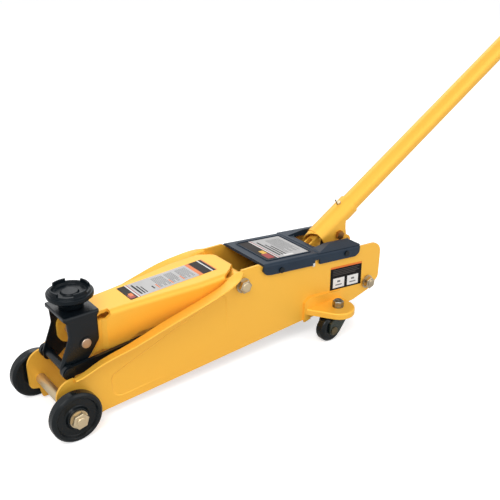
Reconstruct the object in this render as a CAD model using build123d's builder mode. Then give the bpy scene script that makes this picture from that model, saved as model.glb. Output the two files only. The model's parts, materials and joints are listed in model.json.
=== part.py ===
from build123d import *
import os
from math import atan, cos, degrees, radians, sin, tan

# Hydraulic trolley jack. Millimetres, +Z up, the ground is z = 0, the saddle end faces -X.
# Lengths along the jack are given as distances behind the front axle; left is the -Y side.

os.makedirs("parts", exist_ok=True)

# ---------------------------------------------------------------- clearances
RUNNING_FIT = 0.05
PRESS_GAP = 0.02
SIDE_PLAY = 0.2
FACE_GAP = 0.5
OPEN_PIVOT_GAP = 0.15
CUT_REACH = 100.0

# ---------------------------------------------------------------- chassis
PLATE_GAP = 77.0
PLATE_T = 3.0
PLATE_IN = PLATE_GAP / 2
PLATE_OUT = PLATE_IN + PLATE_T
PANEL_DEPTH = 1.4
PANEL_FADE = 50.0
PANEL_WALL_SLOPE = 62.0
FLANGE_T = 2.6
FLANGE_BEND = 8.0

# driving places of each side plate's crest: distance behind the front axle, height, flange width, flange rise
CREST_PLACES = [
    (8.0, 67.5, 5.5, 0.2),
    (15.2, 69.2, 7.5, 0.8),
    (40.3, 78.7, 11.5, 2.4),
    (78.6, 86.8, 16.5, 4.6),
    (118.6, 98.0, 20.0, 6.0),
    (146.2, 104.6, 21.0, 6.4),
    (174.5, 111.4, 21.5, 6.4),
    (193.0, 116.4, 20.0, 5.2),
    (205.0, 120.4, 18.0, 3.4),
    (214.0, 125.2, 16.0, 0.6),
    (222.0, 129.8, 13.5, -2.4),
    (229.5, 131.8, 9.5, -2.6),
    (236.0, 132.0, 3.5, -1.2),
]
CREST_STEPS = 3


def crest_between(index, share):
    """Smooth station of the crest, a share of the way from one driving place to the next."""
    before = CREST_PLACES[max(index - 1, 0)]
    start = CREST_PLACES[index]
    end = CREST_PLACES[index + 1]
    after = CREST_PLACES[min(index + 2, len(CREST_PLACES) - 1)]
    span = end[0] - start[0]
    station = [start[0] + share * span]
    for low, first, last, high in list(zip(before, start, end, after))[1:]:
        slope_in = (last - low) / (end[0] - before[0]) * span
        slope_out = (high - first) / (after[0] - start[0]) * span
        bend_in = share * (1 - share) ** 2
        bend_out = -(share**2) * (1 - share)
        blend = share**2 * (3 - 2 * share)
        station.append(first + (last - first) * blend + slope_in * bend_in + slope_out * bend_out)
    return tuple(station)


CREST = [
    crest_between(index, step / CREST_STEPS)
    for index in range(len(CREST_PLACES) - 1)
    for step in range(CREST_STEPS)
]
CREST.append(CREST_PLACES[-1])
CREST_END = CREST[-1][0]
PLATE_TOP = CREST[-1][1]

# ---------------------------------------------------------------- front axle and wheels
FRONT_WHEEL_D = 60.0
FRONT_WHEEL_R = FRONT_WHEEL_D / 2
FRONT_WHEEL_W = 13.6
FRONT_WHEEL_STAND_OFF = 6.5
AXLE_D = 12.0
AXLE_R = AXLE_D / 2
THREAD_R = 5.0
NUT_AF = 17.0
FRONT_WHEEL_IN = PLATE_OUT + FRONT_WHEEL_STAND_OFF
FRONT_WHEEL_OUT = FRONT_WHEEL_IN + FRONT_WHEEL_W
WASHER_T = 1.6
WASHER_R = 10.5
FRONT_NUT_T = 5.6
THREAD_STICKOUT = 1.2

# ---------------------------------------------------------------- handle (it sets the overall length)
HANDLE_TILT = 31.2
HANDLE_D = 25.4
HANDLE_R = HANDLE_D / 2
SOCKET_PIVOT = (422.5, 122.8)
HANDLE_OFFSET = 12.9
HANDLE_START = 15.5
LOWER_HANDLE_L = 395.0
UPPER_HANDLE_L = 245.0
GRIP_L = 120.0
GRIP_T = 2.8
GRIP_ROUND = 2.0
GRIP_R = HANDLE_R + GRIP_T
HANDLE_END = HANDLE_START + LOWER_HANDLE_L + UPPER_HANDLE_L
TILT_SIN = sin(radians(HANDLE_TILT))
TILT_COS = cos(radians(HANDLE_TILT))
HANDLE_FOOT = (
    SOCKET_PIVOT[0] - HANDLE_OFFSET * TILT_SIN,
    SOCKET_PIVOT[1] + HANDLE_OFFSET * TILT_COS,
)
REARMOST = (
    HANDLE_FOOT[0]
    + (HANDLE_END + GRIP_T - GRIP_ROUND) * TILT_COS
    + (GRIP_R - GRIP_ROUND) * TILT_SIN
    + GRIP_ROUND
)
OVERALL_LENGTH = REARMOST + FRONT_WHEEL_R

# the origin lies on the ground under the middle of the overall length
FRONT_AXLE_X = FRONT_WHEEL_R - OVERALL_LENGTH / 2

# ---------------------------------------------------------------- lifting linkage
ARM_PIVOT = (237.5, 112.0)
SADDLE_PIN = (33.0, 96.0)
LINK_OFFSET = (-25.5, -26.0)
LINK_FRONT = (SADDLE_PIN[0] + LINK_OFFSET[0], SADDLE_PIN[1] + LINK_OFFSET[1])
LINK_REAR = (ARM_PIVOT[0] + LINK_OFFSET[0], ARM_PIVOT[1] + LINK_OFFSET[1])
PIVOT_SHAFT_R = 8.0
PIVOT_END_R = 6.0
PIVOT_WASHER_R = 9.8
PIVOT_WASHER_T = 2.0
PIVOT_NUT_T = 6.5
PIVOT_NUT_AF = 15.0
ARM_WALL = 4.0
ARM_HALF = PLATE_IN - 1.0
ARM_TOP_FRONT = (48.0, 124.7)
ARM_TOP_REAR = (241.0, 131.5)
ARM_NECK_HALF = 21.5
SLEEVE_R = 12.0
CRANK_HALF_GAP = 10.0
CRANK_T = 6.0
LEVER_LENGTH = 45.0
LEVER_REST = 25.2
LEVER_PIN_R = 6.0
LEVER_PIN_AT = (
    ARM_PIVOT[0] + LEVER_LENGTH * sin(radians(LEVER_REST)),
    ARM_PIVOT[1] - LEVER_LENGTH * cos(radians(LEVER_REST)),
)
SADDLE_PIN_R = 5.8
SADDLE_PIN_STICKOUT = 1.5
COLLAR_R = 7.8
COLLAR_T = 0.9
CROSS_PIN_R = 5.0
LINK_STUD_R = 6.0
LINK_IN = 28.0
LINK_T = 4.5
LINK_HALF = 6.0
LINK_EYE_R = 8.0

# ---------------------------------------------------------------- saddle bracket and saddle
BRACKET_OUT = 26.0
BRACKET_T = 4.0
BRACKET_IN = BRACKET_OUT - BRACKET_T
BRACKET_TOP = 133.0
BRACKET_FRONT = 9.6
BRACKET_REAR = 52.5
SADDLE_AT = 30.8
SADDLE_R = 26.4
SADDLE_TOP = 153.7
SADDLE_LUG = 3.4
SADDLE_DISH = SADDLE_TOP - 3.6
SADDLE_BOSS_R = 9.0
SADDLE_BOSS_TOP = SADDLE_DISH + 1.6
SADDLE_STEM_R = 8.0
SADDLE_CLIP_R = 11.0
SADDLE_CLIP_T = 2.4

# ---------------------------------------------------------------- power unit
RAM_HEIGHT = 70.0
RAM_R = 8.0
TANK_R = 31.0
TANK_FRONT = 300.0
TANK_REAR = 380.0
GLAND_L = 16.0
GLAND_R = 17.0
CROSSHEAD_HALF = 9.0
SLOT_PLAY = 0.6
SLOT_RUN = 5.0
CROSSBAR_START = 12.0
CROSSBAR_T = 6.0
SPRING_AT_Y = 34.6
SPRING_COIL_R = 2.4
SPRING_WIRE = 1.1
BLOCK_REAR = 446.0
BLOCK_TOP = 75.0
BLOCK_BOTTOM = 40.0
BLOCK_HALF = 30.0
TIE_AT = (455.0, 52.0)
TIE_R = 5.0
TIE_NUT_AF = 14.5
SPACER_R = 9.0
TIE_WASHER_R = 9.6
TIE_NUT_T = 7.0
TIE_WASHER_T = 2.2
LUG_HALF = 14.0

# ---------------------------------------------------------------- pump and handle socket
EAR_IN = 7.0
EAR_T = 4.0
EAR_R = 8.5
CHEEK_T = 3.0
SOCKET_BORE_R = HANDLE_R + 0.2
SOCKET_R = SOCKET_BORE_R + 1.8
CHEEK_IN = SOCKET_R - CHEEK_T
SOCKET_LOW = -26.0
SOCKET_HIGH = 43.5
CHEEK_END = 19.0
SOCKET_BOLT_R = 4.0
SOCKET_NUT_AF = 11.0
ROLLER_OFFSET = (16.0, -12.0)
ROLLER_AT = (SOCKET_PIVOT[0] + ROLLER_OFFSET[0], SOCKET_PIVOT[1] + ROLLER_OFFSET[1])
ROLLER_R = 7.0
ROLLER_PIN_R = 3.0
PLUNGER_R = 5.0
PLUNGER_HEAD_R = 9.0
PLUNGER_HEAD_T = 3.5
PLUNGER_GAP = 0.3
PLUNGER_SHIFT = 1.7
PUMP_SPRING_L = 20.0
PUMP_WIRE = 1.5
RELEASE_ROD_R = 4.0
COUPLING_END = -42.0
COUPLING_HALF = 6.0

# ---------------------------------------------------------------- cover
COVER_FRONT = 269.8
COVER_REAR = 434.5
COVER_BACK = COVER_REAR + 1.0
COVER_HEIGHT = 130.4
COVER_SLOPE = 0.0965
COVER_T = 3.0
COVER_GAP = 0.4
COVER_IN = PLATE_OUT + COVER_GAP
COVER_OUT = COVER_IN + COVER_T
COVER_SLOT_FRONT = 371.0
COVER_SLOT_HALF = 26.0
COVER_SLOT_CORNER = 7.0
COVER_RAIL = 5.5
RAIL_LEAD = 12.0
RAIL_RAMP = 34.0
RAIL_TAIL = 10.0
COVER_SCREWS = [(296.3, 116.7), (409.6, 108.7)]

# ---------------------------------------------------------------- casters
KINGPIN_AT = 381.0
KINGPIN_Y = 63.0
KINGPIN_R = 4.0
KINGPIN_L = 20.8
KINGPIN_NUT_AF = 13.0
KINGPIN_WASHER_R = 7.6
KINGPIN_WASHER_T = 1.6
CASTER_LUG_R = 22.5
LUG_AHEAD = 40.0
LUG_BEHIND = 24.0
CASTER_LUG_TOP = 45.0
CASTER_SHEET = 3.0
CASTER_TRAIL = 16.0
CASTER_WHEEL_R = 18.0
CASTER_WHEEL_W = 16.0
CASTER_CHEEK_T = 2.5
CASTER_AXLE_R = 4.0
FORK_TOP = 40.5


def behind(distance):
    """X of a place given by its distance behind the front axle."""
    return FRONT_AXLE_X + distance


def side_plane(y):
    """Side elevation at y: across is the distance behind the front axle, up is Z, normal is -Y."""
    return Plane(origin=(FRONT_AXLE_X, y, 0), x_dir=(1, 0, 0), z_dir=(0, -1, 0))


def handle_plane(y):
    """Side elevation along the handle: across runs up the handle from the pivot foot, normal is -Y."""
    foot = (behind(HANDLE_FOOT[0]), y, HANDLE_FOOT[1])
    return Plane(origin=foot, x_dir=(TILT_COS, 0, TILT_SIN), z_dir=(0, -1, 0))


def handle_section(distance):
    """Plane across the handle at a distance up from the pivot foot, looking up the handle."""
    spot = (behind(HANDLE_FOOT[0] + distance * TILT_COS), 0, HANDLE_FOOT[1] + distance * TILT_SIN)
    return Plane(origin=spot, x_dir=(0, 1, 0), z_dir=(TILT_COS, 0, TILT_SIN))


def draw_rounded(corners):
    """Closed outline through (across, up, corner radius) corners, for the line builder in use."""
    count = len(corners)
    entries = []
    for index, (across, up, radius) in enumerate(corners):
        corner = Vector(across, up)
        before = Vector(*corners[index - 1][:2]) - corner
        after = Vector(*corners[(index + 1) % count][:2]) - corner
        if radius <= 0:
            entries.append((corner, corner, corner))
            continue
        half = radians(before.get_angle(after)) / 2
        reach = radius / tan(half)
        middle = (before.normalized() + after.normalized()).normalized()
        arc_top = corner + middle * (radius / sin(half) - radius)
        entries.append((corner + before.normalized() * reach, arc_top, corner + after.normalized() * reach))
    for index, (start, top, end) in enumerate(entries):
        if (end - start).length > 1e-6:
            ThreePointArc(start, top, end)
        following = entries[(index + 1) % count][0]
        if (following - end).length > 1e-6:
            Line(end, following)


def rounded_face(plane, corners):
    """Filled rounded outline on a plane."""
    with BuildSketch(plane) as face:
        with BuildLine():
            draw_rounded(corners)
        make_face()
    return face.sketch


def disc_face(plane, place, radius, inner=0.0):
    """Filled disc, or ring, on a plane."""
    with BuildSketch(plane) as face:
        with Locations(place):
            Circle(radius)
            if inner > 0:
                Circle(inner, mode=Mode.SUBTRACT)
    return face.sketch


def hex_face(plane, place, across_flats, inner=0.0, turn=0.0):
    """Hexagon, with a round hole if one is given, on a plane."""
    with BuildSketch(plane) as face:
        with Locations(place):
            RegularPolygon(across_flats / 2, 6, major_radius=False, rotation=turn)
            if inner > 0:
                Circle(inner, mode=Mode.SUBTRACT)
    return face.sketch


def bar_along_y(place, steps, mode=Mode.ADD):
    """Round bar along Y through a side-view place, from (y from, y to, radius) steps."""
    for y_from, y_to, radius in steps:
        extrude(to_extrude=disc_face(side_plane(y_to), place, radius), amount=y_to - y_from, mode=mode)


def slab(corners, y_from, y_to, mode=Mode.ADD):
    """Rounded side-view outline, solid from one y to another."""
    extrude(to_extrude=rounded_face(side_plane(y_to), corners), amount=y_to - y_from, mode=mode)


def line_height(place_a, place_b, across):
    """Height at a distance behind the axle on the line through two side-view places."""
    rise = (place_b[1] - place_a[1]) / (place_b[0] - place_a[0])
    return place_a[1] + rise * (across - place_a[0])


def cover_height(across):
    """Height of the top of the cover."""
    return COVER_HEIGHT - COVER_SLOPE * (across - COVER_FRONT)


def rail_top(across):
    """Height of the crest of the rails beside the cover's slot."""
    return cover_height(across) + COVER_RAIL


def cover_seat(across):
    """Height of the underside of the cover, where it sits on the plates."""
    return cover_height(across) - COVER_T - PRESS_GAP


# ================================================================ side plates
PLATE_OUTLINE = [
    (8.0, 3.0, 4.0),
    (40.8, 11.5, 40.0),
    (338.0, 28.6, 60.0),
    (430.0, 30.4, 30.0),
    (459.5, 38.3, 14.0),
    (477.8, 52.7, 9.0),
    (479.6, 107.2, 17.0),
    (441.0, 109.9, 3.0),
    (COVER_BACK + 1.0, cover_seat(COVER_BACK + 1.0), 0.0),
    (COVER_FRONT - 1.6, cover_seat(COVER_FRONT - 1.6), 0.0),
    (264.5, 131.6, 6.0),
    (CREST_END, PLATE_TOP, 0.0),
    (CREST_END, PLATE_TOP - FLANGE_BEND, 0.0),
]
PLATE_OUTLINE += [(across, height - FLANGE_BEND, 0.0) for across, height, _, _ in reversed(CREST[:-1])]
PLATE_OUTLINE += [
    (CREST[0][0], CREST[0][1], 0.0),
    (-14.8, 66.3, 19.5),
    (-13.8, 19.6, 6.0),
    (-2.4, 16.8, 4.0),
    (0.2, 3.0, 2.4),
]
PANEL_CREST = [(51.5, 54.3), (157.4, 92.4), (213.5, 108.5)]
PANEL_OUTLINE = [
    (51.5, 22.0, 14.0),
    (*PANEL_CREST[0], 9.0),
    (*PANEL_CREST[1], 60.0),
    (*PANEL_CREST[2], 7.0),
    (213.5, 32.5, 14.0),
]


def flange_section(across, height, width, rise):
    """Section across the bent and flared flange on the -Y plate, at one place along the crest."""
    tip = PLATE_OUT + width
    knee = min(3.4, width * 0.5)
    corners = [
        (-PLATE_IN, height - FLANGE_BEND - 1.0),
        (-PLATE_OUT, height - FLANGE_BEND - 1.0),
        (-PLATE_OUT, height - FLANGE_BEND + 2.4),
        (-PLATE_OUT - knee * 0.3, height - FLANGE_T - 1.8),
        (-PLATE_OUT - knee, height - FLANGE_T + rise * knee / width),
        (-tip, height + rise - FLANGE_T * 0.9),
        (-tip - 0.6, height + rise - FLANGE_T * 0.45),
        (-tip, height + rise),
        (-PLATE_OUT - knee * 0.2, height + rise * 0.1),
        (-PLATE_OUT + 1.2, height - 0.7),
        (-PLATE_IN - 0.5, height - 2.6),
        (-PLATE_IN, height - 4.6),
    ]
    plane = Plane(origin=(behind(across), 0, 0), x_dir=(0, 1, 0), z_dir=(1, 0, 0))
    with BuildSketch(plane) as section:
        with BuildLine():
            Polyline(*corners, close=True)
        make_face()
    return section.sketch


# pressed panel: deepest along its upper edge, it comes out flush lower down
PANEL_TILT = atan((PANEL_CREST[2][1] - PANEL_CREST[0][1]) / (PANEL_CREST[2][0] - PANEL_CREST[0][0]))
panel_floor = Plane(
    origin=(behind(PANEL_CREST[0][0]), -PLATE_OUT + PANEL_DEPTH, PANEL_CREST[0][1]),
    x_dir=(cos(PANEL_TILT), 0, sin(PANEL_TILT)),
    z_dir=(-PANEL_DEPTH * sin(PANEL_TILT), -PANEL_FADE, PANEL_DEPTH * cos(PANEL_TILT)),
)
with BuildPart() as panel_pressing:
    extrude(
        to_extrude=rounded_face(side_plane(-PLATE_OUT), PANEL_OUTLINE),
        amount=-PANEL_DEPTH * 2,
        taper=PANEL_WALL_SLOPE,
    )
    split(bisect_by=panel_floor, keep=Keep.TOP)

with BuildPart() as side_plate_left:
    slab(PLATE_OUTLINE, -PLATE_OUT, -PLATE_IN)
    loft(sections=[flange_section(*station) for station in CREST], ruled=True)
    add(panel_pressing.part, mode=Mode.SUBTRACT)
    for place, radius in (((0, FRONT_WHEEL_R), AXLE_R), (ARM_PIVOT, PIVOT_END_R), (TIE_AT, TIE_R)):
        bar_along_y(place, [(-PLATE_OUT - 1, -PLATE_IN + 1, radius + PRESS_GAP)], mode=Mode.SUBTRACT)
side_plate_left.part.label = "side_plate_left"
export_step(side_plate_left.part, "parts/side_plate_left.step")

with BuildPart() as side_plate_right:
    mirror(side_plate_left.part, about=Plane.XZ)
side_plate_right.part.label = "side_plate_right"
export_step(side_plate_right.part, "parts/side_plate_right.step")

# ================================================================ front axle and wheels
AXLE_END = FRONT_WHEEL_OUT + SIDE_PLAY + WASHER_T + FRONT_NUT_T + THREAD_STICKOUT

with BuildPart() as front_axle:
    bar_along_y((0, FRONT_WHEEL_R), [(-FRONT_WHEEL_OUT - SIDE_PLAY, FRONT_WHEEL_OUT + SIDE_PLAY, AXLE_R)])
    bar_along_y((0, FRONT_WHEEL_R), [(-AXLE_END, AXLE_END, THREAD_R)])
    chamfer(front_axle.edges().group_by(Axis.Y)[0] + front_axle.edges().group_by(Axis.Y)[-1], 0.8)
front_axle.part.label = "front_axle"
export_step(front_axle.part, "parts/front_axle.step")

with BuildPart() as front_spacers:
    for side in (-1, 1):
        ring = disc_face(side_plane(side * PLATE_OUT), (0, FRONT_WHEEL_R), 9.0, AXLE_R + PRESS_GAP)
        extrude(to_extrude=ring, amount=-side * (FRONT_WHEEL_STAND_OFF - SIDE_PLAY))
front_spacers.part.label = "front_spacers"
export_step(front_spacers.part, "parts/front_spacers.step")


def front_wheel_profile(side):
    """Half section of a front wheel: radius from the axle across, outward distance up."""
    width = FRONT_WHEEL_W
    return [
        (AXLE_R + RUNNING_FIT, 0.0, 0.0),
        (FRONT_WHEEL_R - 3.0, 0.0, 1.0),
        (FRONT_WHEEL_R, 2.0, 2.0),
        (FRONT_WHEEL_R, width - 2.2, 2.0),
        (FRONT_WHEEL_R - 2.6, width, 1.2),
        (FRONT_WHEEL_R - 5.2, width, 1.0),
        (FRONT_WHEEL_R - 7.6, width - 3.4, 1.4),
        (14.0, width - 3.8, 2.0),
        (12.0, width, 0.8),
        (AXLE_R + RUNNING_FIT, width, 0.0),
    ]


def build_front_wheel(side):
    """Moulded front wheel on one side, dished on its outer face."""
    centre = (behind(0), side * FRONT_WHEEL_IN, FRONT_WHEEL_R)
    plane = Plane(origin=centre, x_dir=(1, 0, 0), z_dir=(0, 0, side))
    with BuildPart() as wheel:
        section = rounded_face(plane, front_wheel_profile(side))
        revolve(section, axis=Axis(centre, (0, 1, 0)))
    return wheel.part


with BuildPart() as front_wheel_left:
    add(build_front_wheel(-1))
front_wheel_left.part.label = "front_wheel_left"
export_step(front_wheel_left.part, "parts/front_wheel_left.step")

with BuildPart() as front_wheel_right:
    add(build_front_wheel(1))
front_wheel_right.part.label = "front_wheel_right"
export_step(front_wheel_right.part, "parts/front_wheel_right.step")


def build_nut(place, seat, side, washer_r, washer_t, nut_t, thread_r, flats=NUT_AF, turn=0.0):
    """Hexagon nut and its plain washer on a bar along Y, stacked outward from a seat."""
    bore = thread_r + PRESS_GAP
    with BuildPart() as stack:
        washer = disc_face(side_plane(side * seat), place, washer_r, bore)
        extrude(to_extrude=washer, amount=-side * washer_t)
        body = hex_face(side_plane(side * (seat + washer_t)), place, flats, bore, turn)
        extrude(to_extrude=body, amount=-side * nut_t)
        ends = stack.faces().sort_by(Axis.Y)
        outer = ends[0] if side < 0 else ends[-1]
        rim = outer.outer_wire().edges()
        chamfer(rim, 0.7)
    return stack.part


for name, side in (("left", -1), ("right", 1)):
    with BuildPart() as front_nut:
        add(build_nut((0, FRONT_WHEEL_R), FRONT_WHEEL_OUT + SIDE_PLAY, side, WASHER_R, WASHER_T,
                      FRONT_NUT_T, THREAD_R, turn=12))
    front_nut.part.label = f"front_nut_{name}"
    export_step(front_nut.part, f"parts/front_nut_{name}.step")

# ================================================================ arm pivot shaft
PIVOT_NUT_SEAT = PLATE_OUT + PIVOT_WASHER_T
PIVOT_END = PIVOT_NUT_SEAT + PIVOT_NUT_T + 1.0

with BuildPart() as pivot_shaft:
    bar_along_y(ARM_PIVOT, [(-PLATE_IN, PLATE_IN, PIVOT_SHAFT_R), (-PIVOT_END, PIVOT_END, PIVOT_END_R)])
    chamfer(pivot_shaft.edges().group_by(Axis.Y)[0] + pivot_shaft.edges().group_by(Axis.Y)[-1], 0.9)
pivot_shaft.part.label = "pivot_shaft"
export_step(pivot_shaft.part, "parts/pivot_shaft.step")

with BuildPart() as pivot_nuts:
    for side in (-1, 1):
        add(build_nut(ARM_PIVOT, PLATE_OUT, side, PIVOT_WASHER_R, PIVOT_WASHER_T, PIVOT_NUT_T,
                      PIVOT_END_R, flats=PIVOT_NUT_AF, turn=5))
pivot_nuts.part.label = "pivot_nuts"
export_step(pivot_nuts.part, "parts/pivot_nuts.step")

# ================================================================ lift arm
ARM_PLAN = [(14.0, ARM_NECK_HALF), (55.0, ARM_NECK_HALF), (60.0, 24.9), (90.0, 27.2), (114.0, 29.8)]
ARM_PLAN += [(146.0, 33.2), (180.0, ARM_HALF), (260.0, ARM_HALF)]
ARM_LOWER_GAP = 12.5
RELIEF_IN = 17.0
RELIEF_OUTLINE = [
    (51.0, 116.5, 0.5),
    (51.0, 122.5, 0.5),
    (58.5, 127.0, 1.5),
    (66.0, 127.0, 2.5),
    (66.0, 120.4, 3.0),
    (60.0, 116.9, 1.5),
]
ARM_EDGE_R = 6.5


def arm_top(across):
    """Height of the arm's top face."""
    return line_height(ARM_TOP_FRONT, ARM_TOP_REAR, across)


def arm_bottom(across):
    """Height of the arm's lower edge where it runs beside the link bars."""
    return line_height(SADDLE_PIN, ARM_PIVOT, across) - ARM_LOWER_GAP


ARM_SIDE = [
    (ARM_TOP_FRONT[0], ARM_TOP_FRONT[1], 5.0),
    (19.0, 108.5, 12.0),
    (19.0, 83.0, 12.0),
    (34.0, 76.5, 12.0),
    (62.0, 79.0, 20.0),
    (86.0, 81.3, 6.0),
    (99.0, arm_bottom(99.0), 8.0),
    (226.0, arm_bottom(226.0), 5.0),
    (233.0, 95.6, 6.0),
    (253.3, 95.6, 15.5),
    (253.3, 124.0, 11.5),
    (ARM_TOP_REAR[0], 124.0, 0.0),
    (ARM_TOP_REAR[0], ARM_TOP_REAR[1], 5.0),
]

def arm_section(across, half, inset):
    """Section across the arm at one place: a channel shape with rounded top corners, inset by a wall."""
    wide = half - inset
    top = arm_top(across) - inset
    corner = ARM_EDGE_R - inset if inset < ARM_EDGE_R - 1 else 1.0
    plane = Plane(origin=(behind(across), 0, 0), x_dir=(0, 1, 0), z_dir=(1, 0, 0))
    return rounded_face(plane, [(-wide, 50, 0), (-wide, top, corner), (wide, top, corner), (wide, 50, 0)])


with BuildPart() as arm_channel:
    loft(sections=[arm_section(across, half, ARM_WALL) for across, half in ARM_PLAN], ruled=True)
    slab(
        [
            (0, 50, 0),
            (0, 150, 0),
            (ARM_TOP_REAR[0] - ARM_WALL, 150, 0),
            (ARM_TOP_REAR[0] - ARM_WALL, 124.1, 0),
            (262, 124.1, 0),
            (262, 50, 0),
        ],
        -60,
        60,
        mode=Mode.INTERSECT,
    )
    with Locations((behind(ARM_TOP_FRONT[0]), 0, 50)):
        Box(40, 2 * (ARM_NECK_HALF - ARM_WALL), CUT_REACH, align=(Align.MAX, Align.CENTER, Align.MIN))

with BuildPart() as lift_arm:
    loft(sections=[arm_section(across, half, 0) for across, half in ARM_PLAN], ruled=True)
    slab(ARM_SIDE, -60, 60, mode=Mode.INTERSECT)
    add(arm_channel.part, mode=Mode.SUBTRACT)
    # the top sheet is rounded in plan at its rear corners, down to the eyes
    for side in (-1, 1):
        with BuildSketch(Plane.XY.offset(124.05)):
            with BuildLine():
                Polyline(
                    (behind(214), side * 44),
                    (behind(214), side * 36.2),
                    (behind(220), side * 32.5),
                    (behind(230), side * 25.2),
                    (behind(238), side * 17.0),
                    (behind(244), side * 14.0),
                    (behind(262), side * 14.0),
                    (behind(262), side * 44),
                    close=True,
                )
            make_face()
        extrude(amount=20, mode=Mode.SUBTRACT)
        # relief hole at the shoulder where the neck of the pressing widens
        low, high = sorted((side * RELIEF_IN, side * ARM_HALF))
        slab(RELIEF_OUTLINE, low, high, mode=Mode.SUBTRACT)
    bar_along_y(SADDLE_PIN, [(-30, 30, SADDLE_PIN_R + RUNNING_FIT)], mode=Mode.SUBTRACT)
    bar_along_y(ARM_PIVOT, [(-45, 45, PIVOT_SHAFT_R + RUNNING_FIT)], mode=Mode.SUBTRACT)
lift_arm.part.label = "lift_arm"
export_step(lift_arm.part, "parts/lift_arm.step")

# ================================================================ lever welded in the arm
with BuildPart() as lift_lever:
    sleeve_half = ARM_HALF - ARM_WALL - 0.1
    bar_along_y(ARM_PIVOT, [(-sleeve_half, sleeve_half, SLEEVE_R)])
    for side in (-1, 1):
        inner = side * CRANK_HALF_GAP
        with BuildSketch(side_plane(inner)):
            with Locations(ARM_PIVOT):
                Circle(SLEEVE_R)
            with Locations(LEVER_PIN_AT):
                Circle(LEVER_PIN_R + 3.0)
            make_hull()
        extrude(amount=-side * CRANK_T)
    bar_along_y(ARM_PIVOT, [(-45, 45, PIVOT_SHAFT_R + RUNNING_FIT)], mode=Mode.SUBTRACT)
    bar_along_y(LEVER_PIN_AT, [(-20, 20, LEVER_PIN_R + PRESS_GAP)], mode=Mode.SUBTRACT)
lift_lever.part.label = "lift_lever"
export_step(lift_lever.part, "parts/lift_lever.step")

CRANK_OUT = CRANK_HALF_GAP + CRANK_T
with BuildPart() as lever_pin:
    bar_along_y(LEVER_PIN_AT, [(-CRANK_OUT - 2.0, CRANK_OUT + 2.0, LEVER_PIN_R)])
    for y_from in (-CRANK_OUT - 2.0, CRANK_OUT):
        bar_along_y(LEVER_PIN_AT, [(y_from, y_from + 2.0, LEVER_PIN_R + 2.0)])
lever_pin.part.label = "lever_pin"
export_step(lever_pin.part, "parts/lever_pin.step")

# ================================================================ saddle bracket, its pin and the link bars
BRACKET_SIDE = [
    (BRACKET_FRONT, BRACKET_TOP, 1.5),
    (BRACKET_REAR, BRACKET_TOP, 1.5),
    (BRACKET_REAR, 128.6, 1.0),
    (50.0, 125.0, 2.0),
    (50.0, 95.5, 7.0),
    (36.5, 77.0, 6.0),
    (17.5, 61.5, 7.0),
    (0.6, 61.5, 6.5),
    (0.6, 74.5, 8.0),
    (9.0, 94.0, 14.0),
    (14.2, 107.0, 10.0),
    (13.2, 125.0, 3.0),
    (BRACKET_FRONT, 128.6, 1.0),
]

with BuildPart() as saddle_bracket:
    slab(BRACKET_SIDE, -BRACKET_OUT, BRACKET_OUT)
    top_rims = saddle_bracket.edges().filter_by(
        lambda e: e.center().Z > BRACKET_TOP - 0.1 and abs(e.center().Y) > BRACKET_OUT - 0.5
    )
    fillet(top_rims, 3.0)
    slab(
        [(-20, 40, 0), (-20, BRACKET_TOP - BRACKET_T, 0), (70, BRACKET_TOP - BRACKET_T, 0), (70, 40, 0)],
        -BRACKET_IN,
        BRACKET_IN,
        mode=Mode.SUBTRACT,
    )
    for y_from, y_to in ((-BRACKET_OUT - COLLAR_T, -BRACKET_OUT), (BRACKET_OUT, BRACKET_OUT + COLLAR_T)):
        bar_along_y(SADDLE_PIN, [(y_from, y_to, COLLAR_R)])
    bar_along_y(SADDLE_PIN, [(-30, 30, SADDLE_PIN_R + PRESS_GAP)], mode=Mode.SUBTRACT)
    bar_along_y(LINK_FRONT, [(-30, 30, CROSS_PIN_R + PRESS_GAP)], mode=Mode.SUBTRACT)
    with Locations((behind(SADDLE_AT), 0, BRACKET_TOP)):
        Cylinder(SADDLE_STEM_R + RUNNING_FIT, 20, mode=Mode.SUBTRACT)
saddle_bracket.part.label = "saddle_bracket"
export_step(saddle_bracket.part, "parts/saddle_bracket.step")

SADDLE_PIN_END = BRACKET_OUT + SADDLE_PIN_STICKOUT
with BuildPart() as saddle_pin:
    bar_along_y(SADDLE_PIN, [(-SADDLE_PIN_END, SADDLE_PIN_END, SADDLE_PIN_R)])
    chamfer(saddle_pin.edges().group_by(Axis.Y)[0] + saddle_pin.edges().group_by(Axis.Y)[-1], 0.5)
saddle_pin.part.label = "saddle_pin"
export_step(saddle_pin.part, "parts/saddle_pin.step")

LINK_OUT = LINK_IN + LINK_T


def build_link(side):
    """Flat link bar with an eye at each end, on one side."""
    with BuildPart() as bar:
        with BuildSketch(side_plane(side * LINK_IN)):
            with BuildLine():
                Line(LINK_FRONT, LINK_REAR)
            trace(line_width=2 * LINK_HALF)
            with Locations(LINK_FRONT, LINK_REAR):
                Circle(LINK_EYE_R)
        extrude(amount=-side * LINK_T)
        low, high = sorted((side * (LINK_IN - 1), side * (LINK_OUT + 1)))
        bar_along_y(LINK_FRONT, [(low, high, CROSS_PIN_R + OPEN_PIVOT_GAP)], mode=Mode.SUBTRACT)
        bar_along_y(LINK_REAR, [(low, high, LINK_STUD_R + RUNNING_FIT)], mode=Mode.SUBTRACT)
    return bar.part


for name, side in (("left", -1), ("right", 1)):
    with BuildPart() as link_bar:
        add(build_link(side))
    link_bar.part.label = f"link_bar_{name}"
    export_step(link_bar.part, f"parts/link_bar_{name}.step")

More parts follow.
